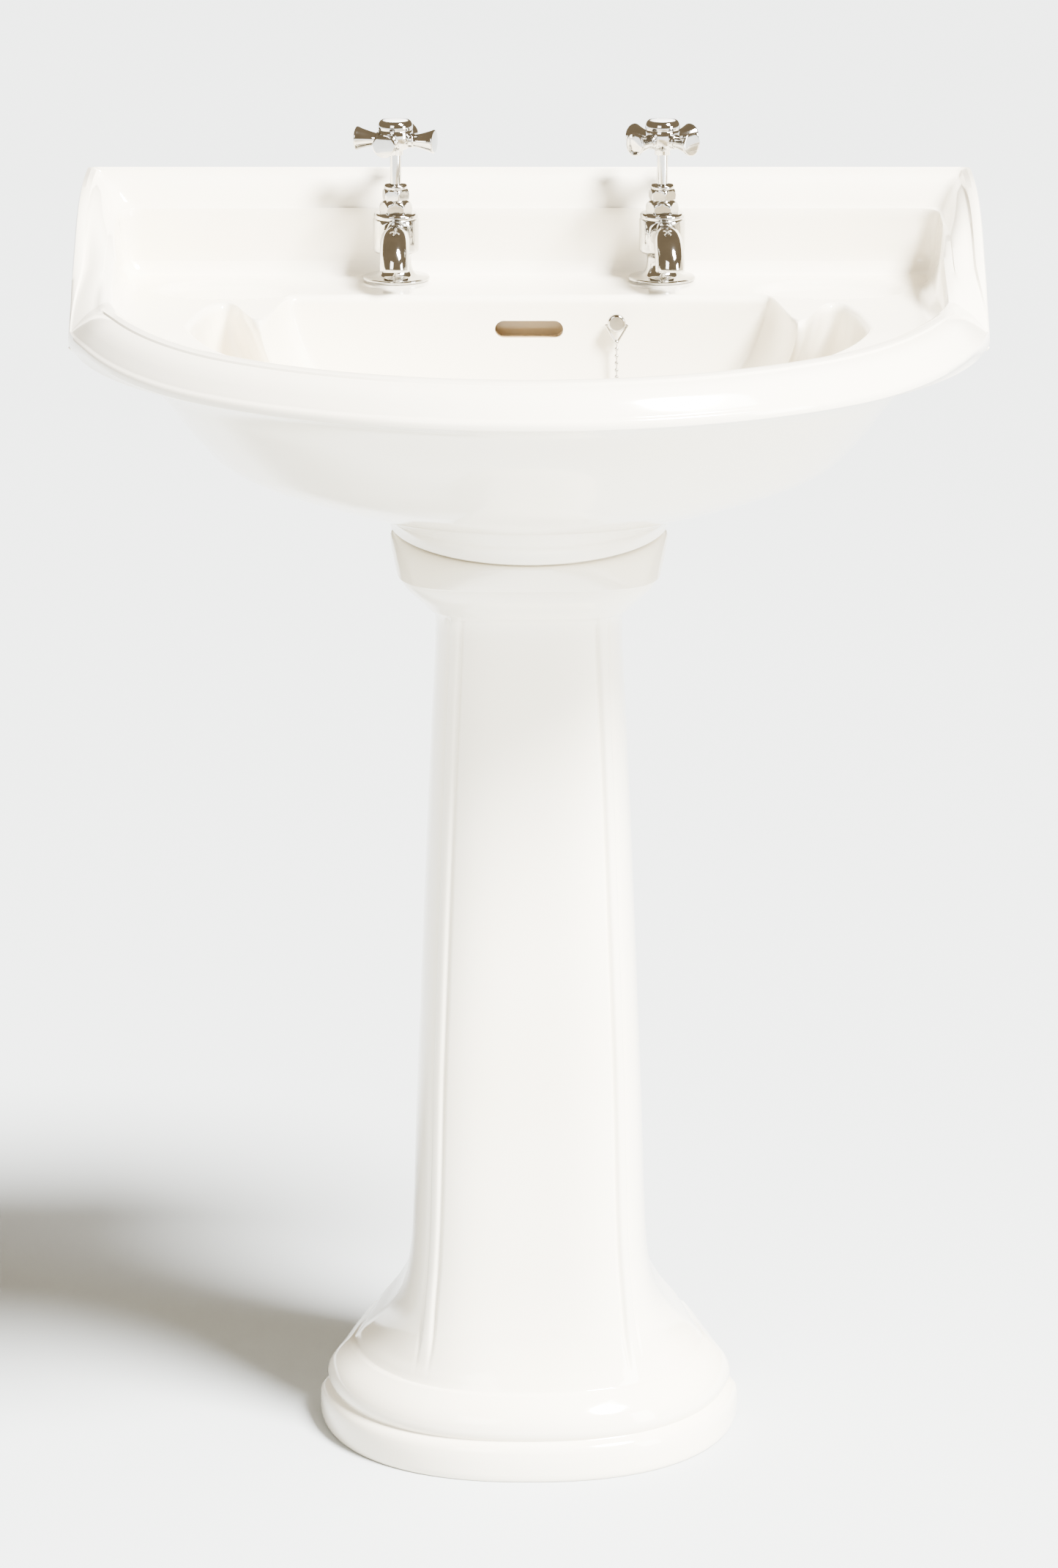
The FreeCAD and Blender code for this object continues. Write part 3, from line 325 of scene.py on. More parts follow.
CHINA = china_material()
CHROME = chrome_material()
BRASS = brass_material()
RUBBER = soft_material("black_rubber", (0.012, 0.012, 0.012), (0.035, 0.034, 0.033), 0.45, 0.7)
WHITE_RUBBER = soft_material("white_rubber", (0.62, 0.61, 0.58), (0.74, 0.73, 0.70), 0.4, 0.6)
FIBRE = soft_material("red_fibre", (0.20, 0.05, 0.03), (0.32, 0.10, 0.06), 0.6, 0.8)
PLASTIC = soft_material("white_plastic", (0.74, 0.74, 0.72), (0.84, 0.84, 0.82), 0.25, 0.4)
PAD = soft_material("seat_pad", (0.50, 0.44, 0.33), (0.62, 0.56, 0.44), 0.6, 0.85)
ENAMEL = soft_material("white_enamel", (0.80, 0.79, 0.76), (0.88, 0.87, 0.84), 0.06, 0.14, 40.0)


def dress(thing, material):
    thing.data.materials.clear()
    thing.data.materials.append(material)
    return thing


def settle(thing, material, body, slot, *nodes):
    """Give a piece its material and body, and hide the CAD nodes that it stands for; slot is not used."""
    dress(thing, material)
    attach(thing, body)
    if nodes:
        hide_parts(*nodes)
    return thing


# -------- basin

FRONT_OVERRUN = 0.2   # how far behind its shoulder the bowed front is centred, as a share of its depth
SHOULDER = 205.0      # wall to the corner where the bowed front starts
BOW_LENGTH = 430.0    # about the length of half of the bow
DECK = 822.0          # tap ledge


def front_ellipse(half, shoulder, front):
    """Centre, half width and depth of the ellipse that a bowed front follows."""
    centre = shoulder - FRONT_OVERRUN * (front - shoulder)
    reach = front - centre
    wide = half / np.sqrt(1 - ((shoulder - centre) / reach) ** 2)
    return centre, wide, reach


def basin_columns():
    """Places along half of the plan: along the back, down the side, round the bow."""
    near_corner = np.array([0.3, 0.9, 2.0, 3.5]) / HALF_WIDTH
    back = np.linspace(0, 1, 78)
    cusp = np.linspace(0.585, 0.86, 34)
    back = np.unique(np.round(np.concatenate([back, cusp, 1 - near_corner]), 5))
    side = np.linspace(0, 1, 56)
    near_side = np.array([0.3, 0.9, 2.0]) / SHOULDER
    side = np.unique(np.round(np.concatenate([side[1:], near_side, 1 - near_side]), 5))
    front = np.linspace(0, 1, 92)[1:]
    near_front = np.array([0.4, 1.2, 2.4]) / BOW_LENGTH
    front = np.unique(np.round(np.concatenate([front, near_front]), 5))
    return back, side, front


BACK_STOPS, SIDE_STOPS, FRONT_STOPS = basin_columns()
N_BACK, N_SIDE = len(BACK_STOPS), len(SIDE_STOPS)
N_BOW = N_BACK + N_SIDE                       # the first column of the bow
N_HALF = N_BOW + len(FRONT_STOPS)
SIDE_OUT = SIDE_STOPS * SHOULDER              # distance from the wall along the side
FRONT_RUN = FRONT_STOPS * BOW_LENGTH          # distance from the corner along the bow


def d_outline(half, back, shoulder, front, corner=3.0):
    """Half of a D-shaped outline at the basin's columns, its back corner rounded."""
    across = np.concatenate([BACK_STOPS * half, np.full(N_SIDE, half), np.zeros(len(FRONT_STOPS))])
    out = np.concatenate([np.full(N_BACK, back), back + SIDE_STOPS * (shoulder - back),
                          np.zeros(len(FRONT_STOPS))])
    centre, wide, reach = front_ellipse(half, shoulder, front)
    start = math.asin((shoulder - centre) / reach)
    angle = start + FRONT_STOPS * (math.pi / 2 - start)
    across[N_BOW:] = wide * np.cos(angle)
    out[N_BOW:] = centre + reach * np.sin(angle)
    from_corner = half - across[:N_BACK]
    turn = math.pi / 4 * np.clip(1 - from_corner / corner, 0, 1)
    bent = from_corner < corner
    across[:N_BACK] = np.where(bent, half - corner + corner * np.sin(turn), across[:N_BACK])
    out[:N_BACK] = np.where(bent, back + corner - corner * np.cos(turn), out[:N_BACK])
    side = slice(N_BACK, N_BOW)
    down = out[side] - back
    turn = math.pi / 4 * np.clip(1 - down / corner, 0, 1)
    bent = down < corner
    across[side] = np.where(bent, half - corner + corner * np.cos(turn), across[side])
    out[side] = np.where(bent, back + corner - corner * np.sin(turn), out[side])
    return np.stack([across, out], axis=-1)


def inset_outline(inset, corner):
    """The rim's outline moved inward by a distance that may differ at each column."""
    inset = np.broadcast_to(np.asarray(inset, dtype=float), (N_HALF,))
    result = np.empty((N_HALF, 2))
    centre, wide, reach = front_ellipse(HALF_WIDTH, SHOULDER, FRONT_EDGE)
    for value in np.unique(np.round(inset, 3)):
        chosen = abs(inset - value) < 6e-4
        half = HALF_WIDTH - value
        meet = centre + (reach - value) * math.sqrt(1 - (half / (wide - value)) ** 2)
        ring = d_outline(half, value, meet, FRONT_EDGE - value, corner + 1e-6)
        start = math.acos(half / (wide - value))
        angle = start + FRONT_STOPS * (math.pi / 2 - start)
        ring[N_BOW:, 0] = (wide - value) * np.cos(angle)
        ring[N_BOW:, 1] = centre + (reach - value) * np.sin(angle)
        result[chosen] = ring[chosen]
    return result


# the moulding that runs round the edge: (inset from the outline, height) from the
# outer face over the bead, the groove, the hollow, the fine step and the inner lip
MOULD_BACK = [
    (0, 884), (0.2, 891), (1.6, 894.2), (4.6, 895), (8, 893.4), (9.4, 890.2), (10.4, 889.4), (13.5, 887.4),
    (16.5, 883.8), (19.5, 878.4), (21.8, 873.4), (23, 870.6), (23.8, 869.6), (25.4, 868.9), (26, 867),
    (26, 862)]
MOULD_LEVEL = [
    (0, 845), (0.1, 852), (1.2, 855.2), (4.2, 856.2), (7, 855.4), (8.4, 853.2), (9.4, 853), (12, 853.8),
    (15, 855), (18, 855.8), (20.5, 855.9), (22.4, 855.6), (23, 854.6), (26, 854.2), (29, 852.6), (31, 848)]
MOULD_CORNER = [
    (1.6, 803), (0.2, 805.5), (0, 809), (0.2, 812.5), (1.2, 814.8), (2.4, 815.3), (3, 816), (5.5, 819),
    (9, 823), (13, 827), (17, 830), (20.5, 831.8), (21.2, 833), (25, 834.8), (28.5, 835), (31, 832.5)]
MOULD_FRONT = [
    (2.2, 801.8), (0.6, 803), (0, 805.5), (0.3, 807.8), (1.3, 809.2), (2.4, 809.9), (2.7, 810.6), (4.2, 813),
    (7, 818), (11, 823.2), (16, 827.2), (20.5, 828.7), (21.2, 830.2), (25, 831.4), (28.5, 831.2), (31, 829)]

# how the outer and inner edges of the moulding fall along the side, out from the wall
OUTER_FALL = ([0, 55, 105, 144, 187, 205], [895, 893, 881, 859, 832, 816])
INNER_FALL = ([0, 50, 100, 150, 187, 205], [869, 868, 864, 854, 840, 833.5])
MOULD_WIDTH = 31.0
# heights of its outer and inner edge at the back, part way down the side, at the corner and in front
MOULD_EDGES = [(895, 869), (856, 854), (816, 833.5), (806, 830)]
LEVEL_FROM = 40.0     # where along the side its back shape starts to change, out from the wall
LEVEL_AT = 150.0      # where it has its level shape
FRONT_FROM = 60.0     # how far along the bow it has its front shape
FRONT_LEVEL = 200.0   # how far along the bow its edges reach their front heights


def mould_rings():
    """Insets and heights of the moulding's rows at each column."""
    tables = (MOULD_BACK, MOULD_LEVEL, MOULD_CORNER, MOULD_FRONT)
    stations = [np.array(table, dtype=float) for table in tables]
    reliefs = [table[:, 1] - (outer + (inner - outer) * table[:, 0] / MOULD_WIDTH)
               for table, (outer, inner) in zip(stations, MOULD_EDGES)]
    weights = np.zeros((4, N_HALF))
    weights[0, :N_BACK] = 1
    side = slice(N_BACK, N_BOW)
    first = ease((SIDE_OUT - LEVEL_FROM) / (LEVEL_AT - LEVEL_FROM))
    second = ease((SIDE_OUT - LEVEL_AT) / (SHOULDER - LEVEL_AT))
    weights[0, side] = 1 - first
    weights[1, side] = first * (1 - second)
    weights[2, side] = first * second
    front = slice(N_BOW, N_HALF)
    weights[2, front] = 1 - ease(FRONT_RUN / FRONT_FROM)
    weights[3, front] = ease(FRONT_RUN / FRONT_FROM)
    outer = np.full(N_HALF, float(MOULD_EDGES[0][0]))
    inner = np.full(N_HALF, float(MOULD_EDGES[0][1]))
    outer[side] = smooth_line(*OUTER_FALL, SIDE_OUT)
    inner[side] = smooth_line(*INNER_FALL, SIDE_OUT)
    corner, middle = MOULD_EDGES[2:]
    along_bow = ease(FRONT_RUN / FRONT_LEVEL)
    outer[front] = corner[0] + (middle[0] - corner[0]) * along_bow ** 0.6
    inner[front] = corner[1] + (middle[1] - corner[1]) * along_bow
    insets = sum(np.outer(table[:, 0], weight) for table, weight in zip(stations, weights))
    relief = sum(np.outer(shape, weight) for shape, weight in zip(reliefs, weights))
    heights = outer + (inner - outer) * insets / MOULD_WIDTH + relief
    return insets, heights


# the bowl's edge in the ledge: (share of the column run, across, out) along the back and side
BOWL_BACK_EDGE = [
    (0, 0, 112), (0.515, 150, 112), (0.56, 162, 112.4), (0.59, 168.5, 116), (0.612, 171.5, 127),
    (0.635, 174.6, 147), (0.665, 178.5, 175), (0.69, 182, 195), (0.712, 185.5, 203), (0.735, 190, 199),
    (0.76, 194, 186), (0.785, 197.8, 171), (0.81, 201.5, 156), (0.84, 206, 145), (0.885, 212, 140),
    (0.94, 218, 144), (1, 222, 153)]
BOWL_SIDE_EDGE = [(0, 222, 153), (0.3, 226, 170), (0.6, 229.5, 195), (1, 232, 225)]
BOWL_SHOULDER = 225.0
BOWL_HALF = 232.0
BOWL_FRONT = FRONT_EDGE - 33.5


def table_curve(table, at):
    """Across and out along a table's smooth curve."""
    table = np.array(table, dtype=float)
    return smooth_line(table[:, 0], table[:, 1], at), smooth_line(table[:, 0], table[:, 2], at)


def bowl_edge():
    """The bowl's edge in the ledge, over half of the plan."""
    back = table_curve(BOWL_BACK_EDGE, BACK_STOPS)
    side = table_curve(BOWL_SIDE_EDGE, SIDE_STOPS)
    centre, wide, reach = front_ellipse(BOWL_HALF, BOWL_SHOULDER, BOWL_FRONT)
    start = math.asin((BOWL_SHOULDER - centre) / reach)
    angle = start + FRONT_STOPS * (math.pi / 2 - start)
    front = wide * np.cos(angle), centre + reach * np.sin(angle)
    return np.stack([np.concatenate([back[i], side[i], front[i]]) for i in (0, 1)], axis=-1)


BELLY = [
    # height, half width, then back, shoulder and front, out from the wall
    (FOOT, 97, 72, 150, 266), (675, 101, 60, 152, 271), (690, 127, 30, 165, 302), (704, 171, 8, 180, 338),
    (717, 203, 0, 195, 366), (744, 231, 0, 212, 400), (775, 254, 0, 220, 432), (790, 271, 0, 215, 444),
    (797, 289, 0, 210, 453), (800.5, 307, 0, 206, 466)]

# how far the bowl's wall has gone from its edge to the ring at mid depth, and from there to the waste
UPPER_WALL = ([0, 0.12, 0.27, 0.41, 0.69, 1], [0, 0.035, 0.11, 0.2, 0.5, 1])
LOWER_WALL = ([744, 733, 722, 708, 699, 694.5, 691.6], [0, 0.065, 0.155, 0.335, 0.565, 0.79, 1])
MID_DEPTH = 744.0
MIDDLE = (215, 119, 212, 384)   # the ring there: half width, back, shoulder and front
WASTE_RECESS = 36.5
WASTE_SEAT = 689.5
WASTE_HOLE = 23.0
# radius and height of the rings from under the basin up the waste hole to the recess's edge
WASTE_RINGS = [
    (WASTE_HOLE, FOOT + 0.5), (WASTE_HOLE, 676), (WASTE_HOLE, WASTE_SEAT - 0.6),
    (WASTE_HOLE + 0.6, WASTE_SEAT), (WASTE_RECESS - 1.5, WASTE_SEAT),
    (WASTE_RECESS - 0.4, WASTE_SEAT + 0.5), (WASTE_RECESS, WASTE_SEAT + 1.4)]
# heights of the rings below mid depth, and above it the shares of the way down from the edge
LOWER_RINGS = [691.6, 692.3, 693.2, 694.5, 696.3, 699, 702.5, 706, 710, 715, 721, 728, 736]
UPPER_RINGS = [1, 0.9, 0.8, 0.7, 0.6, 0.5, 0.4, 0.3, 0.22, 0.15, 0.09, 0.04]
# heights of the rings under the rim, down the belly
BELLY_RINGS = [
    800.5, 799, 797, 794, 790, 785, 780, 773, 765, 756, 747, 738, 730, 723, 717, 711, 704, 698, 690, 683, 677,
    671, 667, FOOT + 0.8]
# the foot of the inner face along the side: its inset, its height and the width of its hollow curve
INNER_FOOT = ([0, 0.25, 0.7, 1], [26.4, 33, 35, 32.4])
INNER_FOOT_UP = ([0, 0.3, 0.75, 1], [831, 832, 832, 829])
COVE = ([0, 0.3, 1], [9, 16, 11])
# the soap recesses: their middle, half sizes and depth
DISH_ACROSS, DISH_OUT = 213, 87
DISH_HALF, DISH_REACH = 56, 37
DISH_DEPTH = 5.2


def soap_dish(points):
    """Depth of the two oval soap recesses at some places on the ledge."""
    depth = np.zeros(points.shape[:-1])
    for side in (-1, 1):
        far = np.hypot((points[..., 0] - side * DISH_ACROSS) / DISH_HALF,
                       (points[..., 1] - DISH_OUT) / DISH_REACH)
        depth += DISH_DEPTH * ease((1 - far) / 0.30)
    return depth


def basin_rings():
    """All rings of half of the basin, from the waste hole over the rim and back under to it."""
    rings = []

    def level(plan, height):
        rings.append((plan, np.full(N_HALF, height)))

    edge = bowl_edge()
    centre = np.array([0.0, WASTE_OUT])
    middle = d_outline(*MIDDLE, corner=70)
    ways = (middle - centre) / np.linalg.norm(middle - centre, axis=1)[:, None]
    ways[0] = (0, -1)
    ways[-1] = (0, 1)
    insets, heights = mould_rings()
    lip = inset_outline(insets[-1], 14)
    lip_height = heights[-1]

    # foot of the inner face
    side_share = np.concatenate([np.zeros(N_BACK), SIDE_STOPS, np.ones(len(FRONT_STOPS))])
    foot = inset_outline(np.round(smooth_line(*INNER_FOOT, side_share), 2), 16)
    foot_height = np.minimum(smooth_line(*INNER_FOOT_UP, side_share), lip_height - 1.2)
    cove = smooth_line(*COVE, side_share)

    run = edge - foot
    length = np.linalg.norm(run, axis=1)
    towards = run / length[:, None]
    roll = np.minimum(6.0, 0.5 * length)
    ledge_end = foot + towards * (length - roll)[:, None]

    def ledge_level(place):
        """Height of the ledge: flat, with a hollow curve up to the inner face."""
        from_foot = np.linalg.norm(place - foot, axis=-1)
        return DECK + (foot_height - DECK) * np.clip(1 - from_foot / cove, 0, 1) ** 2.2

    edge_level = ledge_level(ledge_end)

    # waste hole, its recess, then the bowl's wall
    for radius, height in WASTE_RINGS:
        level(centre + ways * radius, height)
    waste_edge = centre + ways * (WASTE_RECESS + 1.5)
    for height in LOWER_RINGS:
        share = smooth_line(LOWER_WALL[0][::-1], LOWER_WALL[1][::-1], height)
        level(middle + (waste_edge - middle) * share, height)
    wall_top = edge_level - roll
    for share in UPPER_RINGS:
        progress = smooth_line(*UPPER_WALL, share)
        height = wall_top + (MID_DEPTH - wall_top) * share
        rings.append((edge + (middle - edge) * progress, height))
    for angle in np.radians([90, 72, 54, 36, 18]):
        place = edge - towards * (roll * (1 - math.sin(angle)))[:, None]
        rings.append((place, edge_level - roll * (1 - math.cos(angle))))

    # ledge, with the soap recesses
    for share in 1 - ease(np.linspace(0, 1, 40)) ** 0.9:
        place = foot + (ledge_end - foot) * share
        rings.append((place, ledge_level(place) - soap_dish(place)))

    # inner face, then the moulding from its lip outwards
    for share in [0.25, 0.5, 0.75]:
        place = foot + (lip - foot) * share
        rings.append((place, foot_height + (lip_height - foot_height) * share))
    for row in range(len(heights) - 1, -1, -1):
        corner = 14 * ease((row - 4) / 10) + 3
        rings.append((inset_outline(np.round(insets[row], 2), corner), heights[row]))

    # outer face, then the belly and the foot
    outer = inset_outline(np.zeros(N_HALF), 3)
    front = np.arange(N_HALF) >= N_BOW
    low = inset_outline(np.where(front, 3.6, 0.0), 3)
    rings.append((np.where(front[:, None], low, outer), np.where(front, 801.4, 803.5)))
    level(inset_outline(np.where(front, 5.5, 2.2), 3), 801.2)
    belly = np.array(BELLY)
    for height in BELLY_RINGS:
        sizes = [smooth_line(belly[:, 0], belly[:, column], height) for column in (1, 2, 3, 4)]
        level(d_outline(*sizes, corner=5), height)
    level(d_outline(96, 73, 150, 265, corner=5), FOOT)
    level(centre + ways * (WASTE_HOLE + 6), FOOT)
    level(centre + ways * (WASTE_HOLE + 0.5), FOOT)
    return rings


def whole_from_half(rings):
    """Mirror half rings across the middle into closed rings of points."""
    result = []
    for plan, height in rings:
        half = np.column_stack([plan, height])
        half[0, 0] = 0
        half[-1, 0] = 0
        other = half[-2:0:-1] * (-1, 1, 1)
        result.append(np.concatenate([half, other]))
    return np.array(result)


def slab(name, sections):
    """A closed solid through rings with the same number of points."""
    rings = np.array(sections, dtype=float)
    count = rings.shape[1]
    faces = ring_faces(len(rings), count)
    faces.append(tuple(range(count)))
    faces.append(tuple(range((len(rings) - 1) * count, len(rings) * count))[::-1])
    return mesh_object(name, put(rings).reshape(-1, 3), faces)


def box_ring(half, near, far, up, across=0.0):
    """An oblong ring at one height, from its half width and its near and far edge from the wall."""
    left, right = across - half, across + half
    return [(left, near, up), (right, near, up), (right, far, up), (left, far, up)]


# what is open behind the bowl: height, half width, near and far edge from the wall
REAR_HOLLOW = [
    (812, 298, 14, 98), (790, 262, 14, 99), (775, 240, 14, 99), (744, 217, 14, 104), (717, 189, 14, 108),
    (704, 157, 20, 111), (690, 112, 44, 116), (FOOT - 4, 84, 50, 118)]
RIB = 34.0            # half width of the solid rib in its middle
BOLT_ACROSS = 140.0
BOLT_UP = 760.0


def rear_hollow():
    """What is open under the tap ledge and behind the bowl: hollows, pipe ways and wall bolt holes."""
    tools = []
    for side in (-1, 1):
        sections = [box_ring((half - RIB) / 2, near, far, up, side * (half + RIB) / 2)
                    for up, half, near, far in REAR_HOLLOW]
        tools.append(slab("hollow", sections))
    for side in (-1, 1):
        tools.append(slab("way", [box_ring(20, -5, 72, up, side * TAP_ACROSS) for up in (FOOT - 4, 712)]))
        bolt = lathe("bolt", [(0, -12), (5.5, -12), (5.5, 20), (0, 20)], 32)
        tools.append(carry(bolt, (side * BOLT_ACROSS, 4, BOLT_UP), 90, "X"))
    return tools


OVERFLOW_UP = 798.0
OVERFLOW_HALF = 24.0
OVERFLOW_RADIUS = 6.25
# distance from the wall, and how far the slot has opened there
SLOT_SWELL = [(96, 0), (112.2, 0), (113.6, 0.4), (114.8, 1.4), (116.2, 3.0), (122, 9.0)]


def overflow_slot():
    """A slot with softened edges, and the duct behind it."""
    angles = np.linspace(-math.pi / 2, math.pi / 2, 17)
    middle = OVERFLOW_HALF - OVERFLOW_RADIUS
    sections = []
    for out, swell in SLOT_SWELL:
        size = OVERFLOW_RADIUS + swell
        right = [(middle + size * math.cos(a), out, OVERFLOW_UP + size * math.sin(a)) for a in angles]
        left = [(-x, o, z) for x, o, z in right[::-1]]
        sections.append(right + left)
    slot = slab("slot", sections)
    duct = slab("duct", [box_ring(OVERFLOW_HALF, 91, 101, up) for up in (672, 804)])
    return [slot, duct]


def make_basin():
    rings = whole_from_half(basin_rings())
    faces = ring_faces(len(rings), rings.shape[1], closed_rings=True)
    basin = mesh_object("basin_china", put(rings).reshape(-1, 3), faces)
    boolean(basin, rear_hollow() + overflow_slot())
    settle(remake(basin, "basin_china", 38), CHINA, "root", "china", "basin")


# -------- pedestal

PEDESTAL_BACK = 70.0
PEDESTAL_WALL = 13.0
PEDESTAL_TOP = FOOT - 2.0
# half width at each height, from the floor over the plinth, the roll and the
# hollow flare, up the shaft to the collar
PEDESTAL_PROFILE = [
    (0, 150.2), (0.8, 151.2), (2.5, 151.9), (6, 152.2), (14, 152.3), (20, 152), (23.2, 151), (25.6, 149.3),
    (27.2, 147.2), (28, 145.6), (28.8, 145.1), (29.8, 145.7), (32, 146.6), (36, 146.6), (41, 145.2),
    (46, 142.4), (50.5, 138.6), (54.5, 134.2), (57, 131), (58, 129.8), (58.6, 127.4), (59.6, 126.2),
    (63, 124), (67.5, 119.4), (73, 113.6), (79.5, 107.6), (87, 101.8), (95.5, 96.6), (106, 91.8),
    (120, 87.8), (140, 85), (170, 83.3), (205, 82.1), (242, 81), (316, 78), (390, 75), (462, 72),
    (532, 68.8), (590, 66), (603, 65.7), (609, 66.2), (613, 67.4), (616, 69.2), (618, 71.6), (619, 73.4),
    (620.2, 74.4), (622.5, 76), (627, 80), (632, 84.6), (636, 87.6), (639.5, 89.4), (641.6, 90),
    (642.6, 90.1), (643.1, 91.6), (644.2, 92.4), (648, 94), (653, 96), (657.5, 97.2), (660.3, 97.5),
    (661.6, 96.9), (662, 96)]
# front reach against half width for the base and the collar, and against height for the shaft
BASE_REACH = ([85, 92.5, 106.5, 128, 137, 145.5, 152.5], [245.6, 248, 254, 265, 273, 281.5, 288.4])
SHAFT_REACH = ([0, 123, 242, 316, 462, 603, 610], [246, 245.8, 243, 241, 236, 231, 231.4])
COLLAR_REACH = ([65.5, 66, 72, 84, 93, 97.5], [231, 232, 238.4, 250.4, 259.4, 264.5])
# at each height: where the bowed front starts, and how square it is
SHOULDERS = ([0, 30, 57, 66, 81, 99, 123, 242, 462, 603, 622, 636, 643, 650, 662],
             [150, 150, 147, 148, 156, 164, 170, 172, 170, 168, 170, 178, 186, 176, 150])
SQUARENESS = ([0, 48, 66, 81, 99, 123, 462, 603, 622, 636, 643.2, 650, 662],
              [2.3, 2.3, 2.5, 2.9, 3.3, 3.6, 3.6, 3.6, 3.7, 4, 4, 3.0, 2.0])
BASE_TOP = 123.0      # the shaft's reach holds between these heights
SHAFT_TOP = 606.0
# each millimetre back, the sides close in by this share of how much wider they are than the slenderest
CLOSING = 0.003
SLENDER_HALF = 62.0
ROW_STEP = 14         # about the height between two rings
FRONT_STEPS = 420
# distance from the middle to the panel's edge at each height, and the width of its bead
PANEL_HALF = ([0, 60, 85, 120, 300, 462, 617], [84, 78, 73, 69.5, 62.5, 56, 49])
BEAD = 9.0
PANEL_FOOT = 62.0
PANEL_TOP = 624.0
LUG_ACROSS = 107.5    # middle of a floor lug
LUG_HALF = 21.0
LUG_DEEP = 39.5       # its front from the pedestal's back
LUG_RINGS = (0.2, 1.0, 13.2, 14.0)
SCREW_ACROSS = 106.0
SCREW_OUT = 92.0
SCREW_HOLE = [(0, -3), (4, -3), (4, 11.5), (6.5, 14.3), (6.5, 16), (0, 16)]


def pedestal_outline(up, half):
    """Half of the outline at one height, from the middle of the front to the back edge."""
    if up < BASE_TOP:
        front = smooth_line(*BASE_REACH, half)
    elif up < SHAFT_TOP:
        front = smooth_line(*SHAFT_REACH, up)
    else:
        front = smooth_line(*COLLAR_REACH, half)
    shoulder = smooth_line(*SHOULDERS, up)
    power = smooth_line(*SQUARENESS, up)
    centre = shoulder - FRONT_OVERRUN * (front - shoulder)
    reach = front - centre
    wide = half / (1 - ((shoulder - centre) / reach) ** power) ** (1 / power)
    start = math.asin(((shoulder - centre) / reach) ** (power / 2))
    angle = np.linspace(math.pi / 2, start, FRONT_STEPS)
    across = wide * np.cos(angle) ** (2 / power)
    out = centre + reach * np.sin(angle) ** (2 / power)
    across[0] = 0
    deep = np.linspace(shoulder, PEDESTAL_BACK, 40)[1:]
    side = half - CLOSING * (half - SLENDER_HALF) * (shoulder - deep)
    return np.vstack([np.column_stack([across, out]), np.column_stack([side, deep])])


def panel_relief(past, up):
    """How far the front stands proud near the panel's edge: groove, bead, groove."""
    groove = -1.7 * np.exp(-((past + 1.2) / 1.5) ** 2)
    bead = 1.5 * np.sqrt(np.clip(1 - ((past - BEAD / 2) / (BEAD / 2)) ** 2, 0, 1))
    hollow = -1.1 * np.exp(-((past - BEAD - 1.2) / 1.7) ** 2)
    fade = ease((up - PANEL_FOOT) / 46) * ease((PANEL_TOP - up) / 16)
    return (groove + bead + hollow) * fade


def pedestal_section(up, half):
    """Outer and inner outline at one height, as a closed ring of points."""
    line = pedestal_outline(up, half)
    steps = np.linalg.norm(np.diff(line, axis=0), axis=1)
    run = np.concatenate([[0], np.cumsum(steps)])
    edge = smooth_line(*PANEL_HALF, up)
    bead_end = edge + BEAD + 5
    corner = run[FRONT_STEPS - 1]
    stops = np.concatenate([
        np.linspace(0, edge - 5, 9)[:-1], np.linspace(edge - 5, bead_end, 26)[:-1],
        np.linspace(bead_end, corner, 20)[:-1], np.linspace(corner, run[-1], 9)])

    def place(at):
        return np.column_stack([np.interp(at, run, line[:, 0]), np.interp(at, run, line[:, 1])])

    outer = place(stops)
    ahead = place(stops + 0.6) - place(stops - 0.6)
    length = np.hypot(ahead[:, 0], ahead[:, 1])
    normal = np.column_stack([-ahead[:, 1] / length, ahead[:, 0] / length])
    normal[0] = (0, 1)
    inner = outer - normal * PEDESTAL_WALL
    inner[-1, 1] = PEDESTAL_BACK
    outer = outer + panel_relief(stops - edge, up)[:, None] * normal
    outer_left = outer[1:][::-1] * (-1, 1)
    inner_left = inner[1:] * (-1, 1)
    ring = np.vstack([outer_left, outer, inner[::-1], inner_left])
    return np.column_stack([ring, np.full(len(ring), up)])


def make_pedestal():
    rows = []
    for (low, _), (high, _) in zip(PEDESTAL_PROFILE, PEDESTAL_PROFILE[1:]):
        parts = max(1, round((high - low) / ROW_STEP))
        for part in range(parts):
            rows.append(low + (high - low) * part / parts)
    rows.append(PEDESTAL_TOP)
    table = np.array(PEDESTAL_PROFILE)
    sections = [pedestal_section(up, smooth_line(table[:, 0], table[:, 1], up)) for up in rows]
    count = len(sections[0])
    points = put(np.array(sections)).reshape(-1, 3)
    faces = ring_faces(len(sections), count)
    # close the bottom and the top with strips from the outer to the inner outline
    half_count = count // 2
    for ring in (0, len(sections) - 1):
        base = ring * count
        for step in range(half_count - 1):
            faces.append((base + step, base + step + 1, base + count - 2 - step, base + count - 1 - step))
    pedestal = mesh_object("pedestal_china", points, faces, 34)
    lugs = []
    screws = []
    for side in (-1, 1):
        lugs.append(slab("lug", [
            box_ring(LUG_HALF, PEDESTAL_BACK + 0.5, PEDESTAL_BACK + LUG_DEEP, up, side * LUG_ACROSS)
            for up in LUG_RINGS]))
        screws.append(carry(lathe("screw", SCREW_HOLE, 40), (side * SCREW_ACROSS, SCREW_OUT, 0)))
    boolean(pedestal, lugs, "UNION")
    boolean(pedestal, screws)
    settle(remake(pedestal, "pedestal_china"), CHINA, "root", "china", "pedestal")


# -------- taps

SPOUT_RADIUS = 10.3
SPOUT_BORE = 7.5
SPOUT_UP = 34.0       # above the ledge
SPOUT_RUN = 37.0      # straight part, from the tap's axis
SPOUT_BEND = 22.0
SPOUT_SWEEP = 77.0    # degrees
THREAD_PITCH = 1.8
THREAD_OUTER = 10.48

